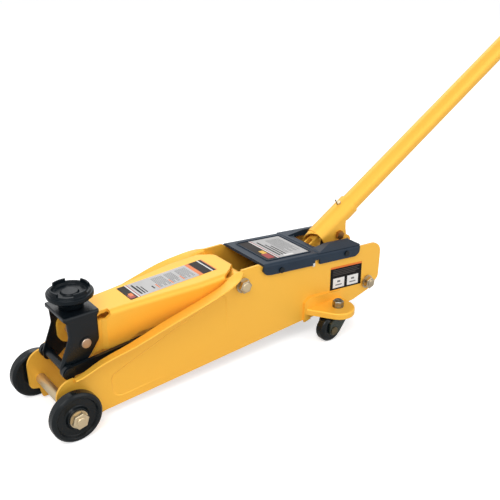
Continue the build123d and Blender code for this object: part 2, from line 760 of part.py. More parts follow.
with BuildPart() as cross_pin:
    bar_along_y(LINK_FRONT, [(-LINK_OUT - 2.4, LINK_OUT + 2.4, CROSS_PIN_R)])
    for y_from in (-LINK_OUT - 2.0, LINK_OUT + SIDE_PLAY):
        bar_along_y(LINK_FRONT, [(y_from, y_from + 1.8, CROSS_PIN_R + 2.0)])
    for y_from, y_to in ((-LINK_IN + SIDE_PLAY, -BRACKET_OUT), (BRACKET_OUT, LINK_IN - SIDE_PLAY)):
        bar_along_y(LINK_FRONT, [(y_from, y_to, CROSS_PIN_R + 2.0)])
cross_pin.part.label = "cross_pin"
export_step(cross_pin.part, "parts/cross_pin.step")

with BuildPart() as link_studs:
    for side in (-1, 1):
        low, high = sorted((side * (LINK_IN - 2.6), side * PLATE_IN))
        clip_low, clip_high = sorted((side * (LINK_IN - 2.0), side * (LINK_IN - SIDE_PLAY)))
        bar_along_y(LINK_REAR, [(low, high, LINK_STUD_R), (clip_low, clip_high, LINK_STUD_R + 2.4)])
link_studs.part.label = "link_studs"
export_step(link_studs.part, "parts/link_studs.step")

# ================================================================ saddle
SADDLE_PROFILE = [
    (0.0, BRACKET_TOP - BRACKET_T - SIDE_PLAY - SADDLE_CLIP_T - 1.5, 0.0),
    (SADDLE_STEM_R, BRACKET_TOP - BRACKET_T - SIDE_PLAY - SADDLE_CLIP_T - 1.5, 0.6),
    (SADDLE_STEM_R, BRACKET_TOP + SIDE_PLAY, 0.0),
    (14.0, BRACKET_TOP + SIDE_PLAY, 1.0),
    (15.0, 140.5, 4.0),
    (SADDLE_R - 2.4, 144.6, 3.0),
    (SADDLE_R, 146.8, 1.6),
    (SADDLE_R, 151.4, 1.4),
    (SADDLE_R - 2.6, 151.6, 1.0),
    (SADDLE_R - 3.4, SADDLE_TOP, 0.9),
    (SADDLE_R - 6.0, SADDLE_TOP, 0.9),
    (SADDLE_R - 7.6, SADDLE_DISH, 1.5),
    (SADDLE_BOSS_R + 1.5, SADDLE_DISH - 0.5, 1.0),
    (SADDLE_BOSS_R, SADDLE_BOSS_TOP, 0.8),
    (0.0, SADDLE_BOSS_TOP, 0.0),
]
LUG_SPAN = 42.0
LUG_PHASE = 8.0

with BuildPart() as saddle:
    saddle_plane = Plane(origin=(behind(SADDLE_AT), 0, 0), x_dir=(1, 0, 0), z_dir=(0, -1, 0))
    revolve(rounded_face(saddle_plane, SADDLE_PROFILE), axis=Axis((behind(SADDLE_AT), 0, 0), (0, 0, 1)))
    lug_section = [
        (SADDLE_R - 6.6, SADDLE_DISH + 1.0, 0),
        (SADDLE_R - 3.0, SADDLE_DISH + 1.0, 0),
        (SADDLE_R - 3.6, SADDLE_TOP + SADDLE_LUG, 1.0),
        (SADDLE_R - 6.0, SADDLE_TOP + SADDLE_LUG, 1.0),
    ]
    for index in range(4):
        start = LUG_PHASE + 90 * index - LUG_SPAN / 2
        turned = Plane(
            origin=(behind(SADDLE_AT), 0, 0),
            x_dir=(cos(radians(start)), sin(radians(start)), 0),
            z_dir=(sin(radians(start)), -cos(radians(start)), 0),
        )
        revolve(
            rounded_face(turned, lug_section),
            axis=Axis((behind(SADDLE_AT), 0, 0), (0, 0, 1)),
            revolution_arc=LUG_SPAN,
        )
saddle.part.label = "saddle"
export_step(saddle.part, "parts/saddle.step")

with BuildPart() as saddle_clip:
    clip_top = BRACKET_TOP - BRACKET_T - SIDE_PLAY
    with Locations((behind(SADDLE_AT), 0, clip_top)):
        Cylinder(SADDLE_CLIP_R, SADDLE_CLIP_T, align=(Align.CENTER, Align.CENTER, Align.MAX))
        Cylinder(SADDLE_STEM_R + PRESS_GAP, 3 * SADDLE_CLIP_T, mode=Mode.SUBTRACT)
saddle_clip.part.label = "saddle_clip"
export_step(saddle_clip.part, "parts/saddle_clip.step")

# ================================================================ cover
COVER_SIDE = [
    (COVER_FRONT, cover_height(COVER_FRONT), 0.0),
    (COVER_FRONT - 2.4, 122.5, 2.0),
    (272.0, 116.2, 4.0),
    (280.0, 114.2, 4.0),
    (350.0, 107.2, 0.0),
    (350.0, 114.0, 0.0),
    (362.0, 113.0, 0.0),
    (362.0, 106.0, 0.0),
    (427.0, 99.5, 6.0),
    (434.0, 103.0, 6.0),
    (COVER_BACK, cover_height(COVER_BACK), 0.0),
]
RAIL_OUTLINE = [
    (-COVER_SLOT_HALF, 0.0, 0.0),
    (-COVER_SLOT_HALF, COVER_RAIL, 1.5),
    (-COVER_SLOT_HALF - 4.0, COVER_RAIL, 3.0),
    (-COVER_OUT + 8.0, COVER_RAIL - 2.6, 8.0),
    (-COVER_OUT + 0.6, 0.0, 0.0),
]

with BuildPart() as cover_hollow:
    slab(
        [
            (240.0, 80.0, 0.0),
            (240.0, cover_seat(240.0), 0.0),
            (470.0, cover_seat(470.0), 0.0),
            (470.0, 80.0, 0.0),
        ],
        -COVER_IN,
        COVER_IN,
    )

with BuildPart() as cover:
    slab(COVER_SIDE, -COVER_OUT, COVER_OUT)
    long_edges = cover.edges().filter_by(
        lambda e: abs(e.center().Y) > COVER_OUT - 0.1 and e.length > 150 and e.center().Z > 118
    )
    fillet(long_edges, COVER_T + 1.5)
    add(cover_hollow.part, mode=Mode.SUBTRACT)
    # raised rails beside the slot the socket swings in
    slope = degrees(atan(COVER_SLOPE))
    rail_front = COVER_SLOT_FRONT - RAIL_LEAD
    rail_origin = (behind(rail_front), 0, cover_height(rail_front) - 0.2)
    rail_run = (cos(radians(slope)), 0, -sin(radians(slope)))
    rail_plane = Plane(origin=rail_origin, x_dir=(0, 1, 0), z_dir=rail_run)
    rail_length = (COVER_BACK - rail_front) / cos(radians(slope))
    for side in (-1, 1):
        mirrored = [(side * -across, up, radius) for across, up, radius in RAIL_OUTLINE]
        extrude(to_extrude=rounded_face(rail_plane, mirrored), amount=rail_length)
    # the rails rise along a soft ramp and are rounded off at the rear
    ramp_end = rail_front + RAIL_RAMP
    tail_start = COVER_BACK - RAIL_TAIL
    slab(
        [
            (rail_front - 8, cover_height(rail_front - 8) + 0.01, 0),
            (rail_front + 1, cover_height(rail_front + 1) + 0.01, 60.0),
            (ramp_end, rail_top(ramp_end) + 0.01, 60.0),
            (tail_start, rail_top(tail_start) + 0.01, 12.0),
            (COVER_BACK, cover_height(COVER_BACK) + 0.6, 0),
            (COVER_BACK + 6.0, cover_height(COVER_BACK) + 0.6, 0),
            (COVER_BACK + 6.0, COVER_HEIGHT + COVER_RAIL, 0),
            (rail_front - 8, COVER_HEIGHT + COVER_RAIL, 0),
        ],
        -COVER_OUT - 1,
        COVER_OUT + 1,
        mode=Mode.SUBTRACT,
    )
    with BuildSketch(Plane.XY.offset(80)):
        with Locations((behind(COVER_SLOT_FRONT), 0)):
            RectangleRounded(
                CUT_REACH,
                2 * COVER_SLOT_HALF,
                COVER_SLOT_CORNER,
                align=(Align.MIN, Align.CENTER),
            )
    extrude(amount=CUT_REACH, mode=Mode.SUBTRACT)
    for place in COVER_SCREWS:
        bar_along_y(place, [(-COVER_OUT - 1, COVER_OUT + 1, 2.0)], mode=Mode.SUBTRACT)
cover.part.label = "cover"
export_step(cover.part, "parts/cover.step")

with BuildPart() as cover_screws:
    for side in (-1, 1):
        for place in COVER_SCREWS:
            low, high = sorted((side * (PLATE_OUT + 0.05), side * (COVER_OUT + 0.1)))
            bar_along_y(place, [(low, high, 2.0 - PRESS_GAP)])
            low, high = sorted((side * COVER_OUT, side * (COVER_OUT + 1.8)))
            bar_along_y(place, [(low, high, 3.8)])
cover_screws.part.label = "cover_screws"
export_step(cover_screws.part, "parts/cover_screws.step")

# ================================================================ power unit between the plates
RAM_AT = (0.0, RAM_HEIGHT)
GLAND_FRONT = TANK_FRONT - GLAND_L
CROSSHEAD_BACK = LEVER_PIN_AT[0] + CROSSBAR_START + CROSSBAR_T
RAM_END = CROSSHEAD_BACK + 62.0
RAM_BACK_ROOM = 6.5
SEAT_FRONT = 322.0
SEAT_L = 22.0
SEAT_BOTTOM = RAM_HEIGHT - TANK_R - 8.4
SEAT_TOP = RAM_HEIGHT - TANK_R + 7.0


def section_at(across):
    """Plane across the jack at a distance behind the front axle: across is Y, up is Z, normal is +X."""
    return Plane(origin=(behind(across), 0, 0), x_dir=(0, 1, 0), z_dir=(1, 0, 0))


def bar_along_x(centre, steps, mode=Mode.ADD):
    """Round bar along X through a (y, z) centre, from (from, to, radius) steps behind the axle."""
    for start, end, radius in steps:
        extrude(to_extrude=disc_face(section_at(start), centre, radius), amount=end - start, mode=mode)


# the release valve's stem runs on the handle's axis, from the coupling down into the tank
VALVE_GAP = 4.5
VALVE_L = 36.0
VALVE_END = COUPLING_END - VALVE_GAP
VALVE_LOW = VALVE_END - VALVE_L
TANK_TOP = RAM_HEIGHT + TANK_R

with BuildPart() as reservoir:
    bar_along_x(RAM_AT, [(TANK_FRONT, TANK_REAR, TANK_R)])
    chamfer(reservoir.edges().group_by(Axis.X)[0] + reservoir.edges().group_by(Axis.X)[-1], 2.0)
    bar_along_x(RAM_AT, [(TANK_FRONT - 1, RAM_END + RAM_BACK_ROOM, RAM_R + FACE_GAP)], mode=Mode.SUBTRACT)
    valve_seat = disc_face(handle_section(VALVE_LOW - FACE_GAP), (0, 0), RELEASE_ROD_R + PRESS_GAP)
    extrude(to_extrude=valve_seat, amount=2 * VALVE_L, mode=Mode.SUBTRACT)
    with Locations((behind(TANK_FRONT + 18.0), 0, TANK_TOP)):
        Cylinder(4.0 + PRESS_GAP, 16, mode=Mode.SUBTRACT)
reservoir.part.label = "reservoir"
export_step(reservoir.part, "parts/reservoir.step")

with BuildPart() as filler_plug:
    with Locations((behind(TANK_FRONT + 18.0), 0, TANK_TOP)):
        Cylinder(4.0, 14, align=(Align.CENTER, Align.CENTER, Align.CENTER))
        Cylinder(6.0, 4.5, align=(Align.CENTER, Align.CENTER, Align.MIN))
    chamfer(filler_plug.edges().group_by(Axis.Z)[-1], 0.8)
filler_plug.part.label = "filler_plug"
export_step(filler_plug.part, "parts/filler_plug.step")

with BuildPart() as ram_gland:
    gland = hex_face(section_at(GLAND_FRONT), RAM_AT, 2 * GLAND_R, RAM_R + RUNNING_FIT)
    extrude(to_extrude=gland, amount=GLAND_L - 4.0)
    collar = disc_face(section_at(TANK_FRONT - 4.0), RAM_AT, GLAND_R + 3.0, RAM_R + RUNNING_FIT)
    extrude(to_extrude=collar, amount=4.0)
ram_gland.part.label = "ram_gland"
export_step(ram_gland.part, "parts/ram_gland.step")

with BuildPart() as tank_cradle:
    slab(
        [
            (SEAT_FRONT, SEAT_BOTTOM, 1.0),
            (SEAT_FRONT + SEAT_L, SEAT_BOTTOM, 1.0),
            (SEAT_FRONT + SEAT_L, SEAT_TOP, 1.0),
            (SEAT_FRONT, SEAT_TOP, 1.0),
        ],
        -PLATE_IN,
        PLATE_IN,
    )
    bar_along_x(RAM_AT, [(SEAT_FRONT - 1, SEAT_FRONT + SEAT_L + 1, TANK_R + PRESS_GAP)], mode=Mode.SUBTRACT)
tank_cradle.part.label = "tank_cradle"
export_step(tank_cradle.part, "parts/tank_cradle.step")

PLUNGER_AT = ROLLER_AT[0] + PLUNGER_SHIFT
HEAD_TOP = ROLLER_AT[1] - ROLLER_R - PLUNGER_GAP
HEAD_BOTTOM = HEAD_TOP - PLUNGER_HEAD_T
CYLINDER_TOP = HEAD_BOTTOM - PUMP_SPRING_L
BLOCK_OUTLINE = [
    (TANK_REAR, BLOCK_BOTTOM, 2.0),
    (BLOCK_REAR - 3.0, BLOCK_BOTTOM, 2.0),
    (TIE_AT[0] - 2.0, TIE_AT[1] - SPACER_R - 2.0, 6.0),
    (TIE_AT[0] + SPACER_R, TIE_AT[1] - SPACER_R - 2.0, 8.0),
    (TIE_AT[0] + SPACER_R, TIE_AT[1] + SPACER_R + 3.0, 8.0),
    (PLUNGER_AT + PLUNGER_HEAD_R + 2.0, BLOCK_TOP, 3.0),
    (TANK_REAR, BLOCK_TOP, 2.0),
]
EAR_OUTLINE = [
    (408.0, BLOCK_TOP - 1.0, 0.0),
    (429.0, BLOCK_TOP - 1.0, 0.0),
    (429.0, 100.0, 3.0),
    (SOCKET_PIVOT[0] + 6.0, SOCKET_PIVOT[1] - 10.0, 2.0),
    (SOCKET_PIVOT[0] + EAR_R, SOCKET_PIVOT[1] - 5.0, 4.0),
    (SOCKET_PIVOT[0] + EAR_R, SOCKET_PIVOT[1] + EAR_R, EAR_R - 0.1),
    (SOCKET_PIVOT[0] - EAR_R, SOCKET_PIVOT[1] + EAR_R, EAR_R - 0.1),
    (SOCKET_PIVOT[0] - EAR_R, SOCKET_PIVOT[1] - 6.0, 4.0),
]

with BuildPart() as pump_block:
    slab(BLOCK_OUTLINE, -BLOCK_HALF, BLOCK_HALF)
    # the rear lug around the tie bolt is narrower than the block
    for side in (-1, 1):
        low, high = sorted((side * LUG_HALF, side * (BLOCK_HALF + 1)))
        slab(
            [
                (BLOCK_REAR - 3.0, 20.0, 0),
                (BLOCK_REAR + 60.0, 20.0, 0),
                (BLOCK_REAR + 60.0, 63.5, 0),
                (BLOCK_REAR - 3.0, 63.5, 0),
            ],
            low,
            high,
            mode=Mode.SUBTRACT,
        )
        low, high = sorted((side * EAR_IN, side * (EAR_IN + EAR_T)))
        slab(EAR_OUTLINE, low, high)
    with Locations((behind(PLUNGER_AT), 0, BLOCK_TOP)):
        Cylinder(PLUNGER_HEAD_R, CYLINDER_TOP - BLOCK_TOP, align=(Align.CENTER, Align.CENTER, Align.MIN))
    with Locations((behind(PLUNGER_AT), 0, CYLINDER_TOP)):
        Cylinder(
            PLUNGER_R + RUNNING_FIT,
            CYLINDER_TOP - BLOCK_BOTTOM - 5.0,
            align=(Align.CENTER, Align.CENTER, Align.MAX),
            mode=Mode.SUBTRACT,
        )
    bar_along_y(SOCKET_PIVOT, [(-12, 12, SOCKET_BOLT_R + PRESS_GAP)], mode=Mode.SUBTRACT)
    bar_along_y(TIE_AT, [(-40, 40, TIE_R + PRESS_GAP)], mode=Mode.SUBTRACT)
pump_block.part.label = "pump_block"
export_step(pump_block.part, "parts/pump_block.step")

with BuildPart() as pump_plunger:
    with Locations((behind(PLUNGER_AT), 0, HEAD_TOP)):
        Cylinder(PLUNGER_HEAD_R, PLUNGER_HEAD_T, align=(Align.CENTER, Align.CENTER, Align.MAX))
        Cylinder(PLUNGER_R, HEAD_TOP - BLOCK_BOTTOM - 9.0, align=(Align.CENTER, Align.CENTER, Align.MAX))
    chamfer(pump_plunger.edges().group_by(Axis.Z)[-1], 0.8)
pump_plunger.part.label = "pump_plunger"
export_step(pump_plunger.part, "parts/pump_plunger.step")

PUMP_COIL_R = PLUNGER_HEAD_R - PUMP_WIRE / 2 - 0.4
PUMP_PITCH = (PUMP_SPRING_L - PUMP_WIRE) / 5
with BuildPart() as pump_spring:
    with BuildLine() as pump_coil:
        Helix(
            PUMP_PITCH,
            PUMP_SPRING_L - PUMP_WIRE - 0.1,
            PUMP_COIL_R,
            center=(behind(PLUNGER_AT), 0, CYLINDER_TOP + PUMP_WIRE / 2 + 0.05),
        )
    with BuildSketch(Plane(origin=pump_coil.line @ 0, z_dir=pump_coil.line % 0)):
        Circle(PUMP_WIRE / 2)
    sweep(is_frenet=True)
pump_spring.part.label = "pump_spring"
export_step(pump_spring.part, "parts/pump_spring.step")

# ================================================================ ram, crosshead and return springs
SLOT_HALF = LEVER_PIN_R + SLOT_PLAY
SLOT_LOW = ARM_PIVOT[1] - LEVER_LENGTH - LEVER_PIN_R - 1.2
SLOT_HIGH = ARM_PIVOT[1] - LEVER_LENGTH * cos(radians(31.5)) + LEVER_PIN_R + 1.2
with BuildPart() as ram_crosshead:
    slab(
        [
            (LEVER_PIN_AT[0] - SLOT_HALF - SLOT_RUN, SLOT_LOW - SLOT_RUN, 4.0),
            (CROSSHEAD_BACK, SLOT_LOW - SLOT_RUN, 2.0),
            (CROSSHEAD_BACK, SLOT_HIGH + SLOT_RUN, 2.0),
            (LEVER_PIN_AT[0] - SLOT_HALF - SLOT_RUN, SLOT_HIGH + SLOT_RUN, 4.0),
        ],
        -CROSSHEAD_HALF,
        CROSSHEAD_HALF,
    )
    slab(
        [
            (LEVER_PIN_AT[0] - SLOT_HALF, SLOT_LOW, 3.0),
            (LEVER_PIN_AT[0] + SLOT_HALF, SLOT_LOW, 3.0),
            (LEVER_PIN_AT[0] + SLOT_HALF, SLOT_HIGH, 3.0),
            (LEVER_PIN_AT[0] - SLOT_HALF, SLOT_HIGH, 3.0),
        ],
        -CROSSHEAD_HALF - 1,
        CROSSHEAD_HALF + 1,
        mode=Mode.SUBTRACT,
    )
    slab(
        [
            (CROSSHEAD_BACK - CROSSBAR_T, RAM_HEIGHT - 4.5, 1.0),
            (CROSSHEAD_BACK, RAM_HEIGHT - 4.5, 1.0),
            (CROSSHEAD_BACK, RAM_HEIGHT + 4.5, 1.0),
            (CROSSHEAD_BACK - CROSSBAR_T, RAM_HEIGHT + 4.5, 1.0),
        ],
        -SPRING_AT_Y - SPRING_COIL_R,
        SPRING_AT_Y + SPRING_COIL_R,
    )
ram_crosshead.part.label = "ram_crosshead"
export_step(ram_crosshead.part, "parts/ram_crosshead.step")

with BuildPart() as ram:
    bar_along_x(RAM_AT, [(CROSSHEAD_BACK, RAM_END, RAM_R)])
    chamfer(ram.edges().group_by(Axis.X)[-1], 0.8)
ram.part.label = "ram"
export_step(ram.part, "parts/ram.step")

ANCHOR_FRONT = TANK_REAR - 4.0
with BuildPart() as spring_anchor:
    for side in (-1, 1):
        low, high = sorted((side * (SPRING_AT_Y - SPRING_COIL_R - 0.6), side * PLATE_IN))
        slab(
            [
                (ANCHOR_FRONT, RAM_HEIGHT - 5.0, 1.0),
                (ANCHOR_FRONT + 5.0, RAM_HEIGHT - 5.0, 1.0),
                (ANCHOR_FRONT + 5.0, RAM_HEIGHT + 5.0, 1.0),
                (ANCHOR_FRONT, RAM_HEIGHT + 5.0, 1.0),
            ],
            low,
            high,
        )
spring_anchor.part.label = "spring_anchor"
export_step(spring_anchor.part, "parts/spring_anchor.step")

SPRING_L = ANCHOR_FRONT - CROSSHEAD_BACK - 0.1
for name, side in (("left", -1), ("right", 1)):
    with BuildPart() as return_spring:
        with BuildLine() as spring_coil:
            Helix(
                4.2,
                SPRING_L - SPRING_WIRE,
                SPRING_COIL_R,
                center=(behind(CROSSHEAD_BACK + 0.05 + SPRING_WIRE / 2), side * SPRING_AT_Y, RAM_HEIGHT),
                direction=(1, 0, 0),
            )
        with BuildSketch(Plane(origin=spring_coil.line @ 0, z_dir=spring_coil.line % 0)):
            Circle(SPRING_WIRE / 2)
        sweep(is_frenet=True)
    return_spring.part.label = f"return_spring_{name}"
    export_step(return_spring.part, f"parts/return_spring_{name}.step")

# ================================================================ rear tie bolt
TIE_NUT_SEAT = PLATE_OUT + TIE_WASHER_T
TIE_END = TIE_NUT_SEAT + TIE_NUT_T + 1.2
with BuildPart() as rear_tie_bolt:
    bar_along_y(TIE_AT, [(-TIE_END, TIE_END, TIE_R)])
    chamfer(rear_tie_bolt.edges().group_by(Axis.Y)[0] + rear_tie_bolt.edges().group_by(Axis.Y)[-1], 0.8)
rear_tie_bolt.part.label = "rear_tie_bolt"
export_step(rear_tie_bolt.part, "parts/rear_tie_bolt.step")

with BuildPart() as rear_nuts:
    for side in (-1, 1):
        add(build_nut(TIE_AT, PLATE_OUT, side, TIE_WASHER_R, TIE_WASHER_T, TIE_NUT_T, TIE_R,
                      flats=TIE_NUT_AF, turn=20))
rear_nuts.part.label = "rear_nuts"
export_step(rear_nuts.part, "parts/rear_nuts.step")

with BuildPart() as rear_spacers:
    for side in (-1, 1):
        ring = disc_face(side_plane(side * LUG_HALF), TIE_AT, SPACER_R, TIE_R + PRESS_GAP)
        extrude(to_extrude=ring, amount=-side * (PLATE_IN - LUG_HALF))
rear_spacers.part.label = "rear_spacers"
export_step(rear_spacers.part, "parts/rear_spacers.step")

# ================================================================ handle socket and pump rocker
SOCKET_OUTLINE = [
    (SOCKET_HIGH, SOCKET_R + 4, 0.0),
    (SOCKET_HIGH, -SOCKET_R - 1, 0.0),
    (34.5, -SOCKET_R - 1, 0.0),
    (CHEEK_END, -5.0, 3.0),
    (13.6, -15.0, 5.0),
    (10.0, -24.5, 4.0),
    (13.5, -27.5, 4.0),
    (14.5, -38.0, 6.0),
    (2.0, -38.0, 6.0),
    (-3.0, -23.0, 6.0),
    (-10.0, -16.5, 6.0),
    (SOCKET_LOW, -6.0, 3.0),
    (SOCKET_LOW, SOCKET_R + 4, 0.0),
]
SCREW_AT = 30.0
SCREW_R = 2.2
SCREW_HEAD_AF = 6.0
SCREW_HEAD_T = 1.8


def handle_slab(corners, y_from, y_to, mode=Mode.ADD):
    """Rounded outline in the handle's side plane, solid from one y to another."""
    extrude(to_extrude=rounded_face(handle_plane(y_to), corners), amount=y_to - y_from, mode=mode)


def tube_along_handle(start, end, radius, mode=Mode.ADD):
    """Round bar along the handle axis between two distances up from the pivot foot."""
    extrude(to_extrude=disc_face(handle_section(start), (0, 0), radius), amount=end - start, mode=mode)


with BuildPart() as handle_socket:
    tube_along_handle(SOCKET_LOW, SOCKET_HIGH, SOCKET_R)
    handle_slab([(-40, 0, 0), (CHEEK_END, 0, 0), (CHEEK_END, -60, 0), (-40, -60, 0)], -SOCKET_R, SOCKET_R)
    handle_slab(SOCKET_OUTLINE, -SOCKET_R - 1, SOCKET_R + 1, mode=Mode.INTERSECT)
    tube_along_handle(SOCKET_LOW - 1, SOCKET_HIGH + 1, SOCKET_BORE_R, mode=Mode.SUBTRACT)
    cheek_gap = [(-50, 0, 0), (CHEEK_END, 0, 0), (CHEEK_END, -60, 0), (-50, -60, 0)]
    handle_slab(cheek_gap, -CHEEK_IN, CHEEK_IN, mode=Mode.SUBTRACT)
    bar_along_y(SOCKET_PIVOT, [(-20, 20, SOCKET_BOLT_R + RUNNING_FIT)], mode=Mode.SUBTRACT)
    bar_along_y(ROLLER_AT, [(-20, 20, ROLLER_PIN_R + PRESS_GAP)], mode=Mode.SUBTRACT)
    screw_plane = Plane(
        origin=(
            behind(HANDLE_FOOT[0] + SCREW_AT * TILT_COS),
            0,
            HANDLE_FOOT[1] + SCREW_AT * TILT_SIN,
        ),
        x_dir=(0, 1, 0),
        z_dir=(-TILT_SIN, 0, TILT_COS),
    )
    with BuildSketch(screw_plane):
        Circle(SCREW_R + PRESS_GAP)
    extrude(amount=30, mode=Mode.SUBTRACT)
handle_socket.part.label = "handle_socket"
export_step(handle_socket.part, "parts/handle_socket.step")

SCREW_TIP = HANDLE_R - 1.4
with BuildPart() as set_screw:
    tip_plane = screw_plane.offset(SCREW_TIP)
    with BuildSketch(tip_plane):
        Circle(SCREW_R)
    extrude(amount=SOCKET_R + 1.0 - SCREW_TIP)
    with BuildSketch(screw_plane.offset(SOCKET_R + 0.1)):
        RegularPolygon(SCREW_HEAD_AF / 2, 6, major_radius=False)
    extrude(amount=SCREW_HEAD_T)
set_screw.part.label = "set_screw"
export_step(set_screw.part, "parts/set_screw.step")

with BuildPart() as socket_bolt:
    outer = SOCKET_R + SIDE_PLAY
    bar_along_y(SOCKET_PIVOT, [(-outer, outer + 7.0, SOCKET_BOLT_R)])
    extrude(to_extrude=hex_face(side_plane(-outer), SOCKET_PIVOT, SOCKET_NUT_AF, turn=10), amount=4.6)
    ring = hex_face(side_plane(outer), SOCKET_PIVOT, SOCKET_NUT_AF, SOCKET_BOLT_R + PRESS_GAP, turn=10)
    extrude(to_extrude=ring, amount=-6.0)
socket_bolt.part.label = "socket_bolt"
export_step(socket_bolt.part, "parts/socket_bolt.step")

with BuildPart() as pump_roller:
    roller_half = CHEEK_IN - FACE_GAP
    bar_along_y(ROLLER_AT, [(-roller_half, roller_half, ROLLER_R)])
    bar_along_y(ROLLER_AT, [(-20, 20, ROLLER_PIN_R + RUNNING_FIT)], mode=Mode.SUBTRACT)
pump_roller.part.label = "pump_roller"
export_step(pump_roller.part, "parts/pump_roller.step")

with BuildPart() as roller_pin:
    bar_along_y(ROLLER_AT, [(-SOCKET_R - 0.8, SOCKET_R + 0.8, ROLLER_PIN_R)])
roller_pin.part.label = "roller_pin"
export_step(roller_pin.part, "parts/roller_pin.step")

# ================================================================ handle
LOWER_END = HANDLE_START + LOWER_HANDLE_L
GRIP_START = HANDLE_END - GRIP_L
JOINT_IN = 40.0
TUBE_WALL = 1.6

with BuildPart() as lower_handle:
    tube_along_handle(HANDLE_START, LOWER_END, HANDLE_R)
    tube_along_handle(HANDLE_START + 5.0, LOWER_END + 1, HANDLE_R - TUBE_WALL, mode=Mode.SUBTRACT)
    tube_along_handle(HANDLE_START - 1, HANDLE_START + 6.0, RELEASE_ROD_R + PRESS_GAP, mode=Mode.SUBTRACT)
    groove = disc_face(handle_section(SCREW_AT - SCREW_R - 0.5), (0, 0), HANDLE_R + 1, HANDLE_R - 1.5)
    extrude(to_extrude=groove, amount=2 * SCREW_R + 1.0, mode=Mode.SUBTRACT)
    tube_along_handle(SCREW_AT - 8, SCREW_AT + 8, HANDLE_R - 3.5)
lower_handle.part.label = "lower_handle"
export_step(lower_handle.part, "parts/lower_handle.step")

with BuildPart() as upper_handle:
    tube_along_handle(LOWER_END, HANDLE_END, HANDLE_R)
    tube_along_handle(LOWER_END - JOINT_IN, LOWER_END, HANDLE_R - TUBE_WALL - RUNNING_FIT)
    tube_along_handle(LOWER_END - JOINT_IN - 1, HANDLE_END + 1, HANDLE_R - 2 * TUBE_WALL, mode=Mode.SUBTRACT)
upper_handle.part.label = "upper_handle"
export_step(upper_handle.part, "parts/upper_handle.step")

with BuildPart() as handle_grip:
    tube_along_handle(GRIP_START, HANDLE_END + GRIP_T, GRIP_R)
    fillet(handle_grip.edges(), GRIP_ROUND)
    tube_along_handle(GRIP_START - 1, HANDLE_END, HANDLE_R + PRESS_GAP, mode=Mode.SUBTRACT)
    for index in range(9):
        ring_at = GRIP_START + 14 + 10.5 * index
        groove = disc_face(handle_section(ring_at), (0, 0), GRIP_R + 1, GRIP_R - 0.8)
        extrude(to_extrude=groove, amount=3.0, mode=Mode.SUBTRACT)
handle_grip.part.label = "handle_grip"
export_step(handle_grip.part, "parts/handle_grip.step")

with BuildPart() as release_rod:
    tube_along_handle(COUPLING_END + 8, HANDLE_START + 6.0, RELEASE_ROD_R)
    fork = [
        (COUPLING_END, -5.0, 0.5),
        (COUPLING_END, 5.0, 0.5),
        (COUPLING_END + 17, 5.0, 2.0),
        (COUPLING_END + 17, -5.0, 2.0),
    ]
    handle_slab(fork, -COUPLING_HALF, COUPLING_HALF)
    slot = [
        (COUPLING_END - 1, -6.0, 0),
        (COUPLING_END - 1, 6.0, 0),
        (COUPLING_END + 9, 6.0, 0),
        (COUPLING_END + 9, -6.0, 0),
    ]
    handle_slab(slot, -COUPLING_HALF + 2.2, COUPLING_HALF - 2.2, mode=Mode.SUBTRACT)
release_rod.part.label = "release_rod"
export_step(release_rod.part, "parts/release_rod.step")

with BuildPart() as release_valve:
    tube_along_handle(VALVE_LOW, VALVE_END, RELEASE_ROD_R)
release_valve.part.label = "release_valve"
export_step(release_valve.part, "parts/release_valve.step")

# ================================================================ casters
CASTER_FLANGE = [
    (338.0, 26.0, 0.5),
    (349.0, 28.4, 0.5),
    (349.0, 30.4, 0.5),
    (409.0, 32.0, 2.0),
    (409.0, 54.2, 9.0),
    (346.5, 60.8, 7.0),
    (338.0, 55.0, 4.0),
]


def lug_plan(height, side, inset=0.0):
    """Plan of the caster lug: a round end joined to the plate, wider ahead of the kingpin."""
    foot = (LUG_AHEAD + LUG_BEHIND) / 2 - inset
    foot_at = behind(KINGPIN_AT + (LUG_BEHIND - LUG_AHEAD) / 2)
    with BuildSketch(Plane.XY.offset(height)) as plan:
        with Locations((behind(KINGPIN_AT), side * KINGPIN_Y)):
            Circle(CASTER_LUG_R - inset)
        with Locations((foot_at, side * (PLATE_OUT + CASTER_SHEET / 2))):
            Rectangle(2 * foot, 0.5)
        make_hull()
        keep = side * (PLATE_OUT + CASTER_SHEET)
        with Locations((behind(KINGPIN_AT), keep)):
            Rectangle(
                200,
                100,
                align=(Align.CENTER, Align.MIN if side > 0 else Align.MAX),
                mode=Mode.INTERSECT,
            )
    return plan.sketch


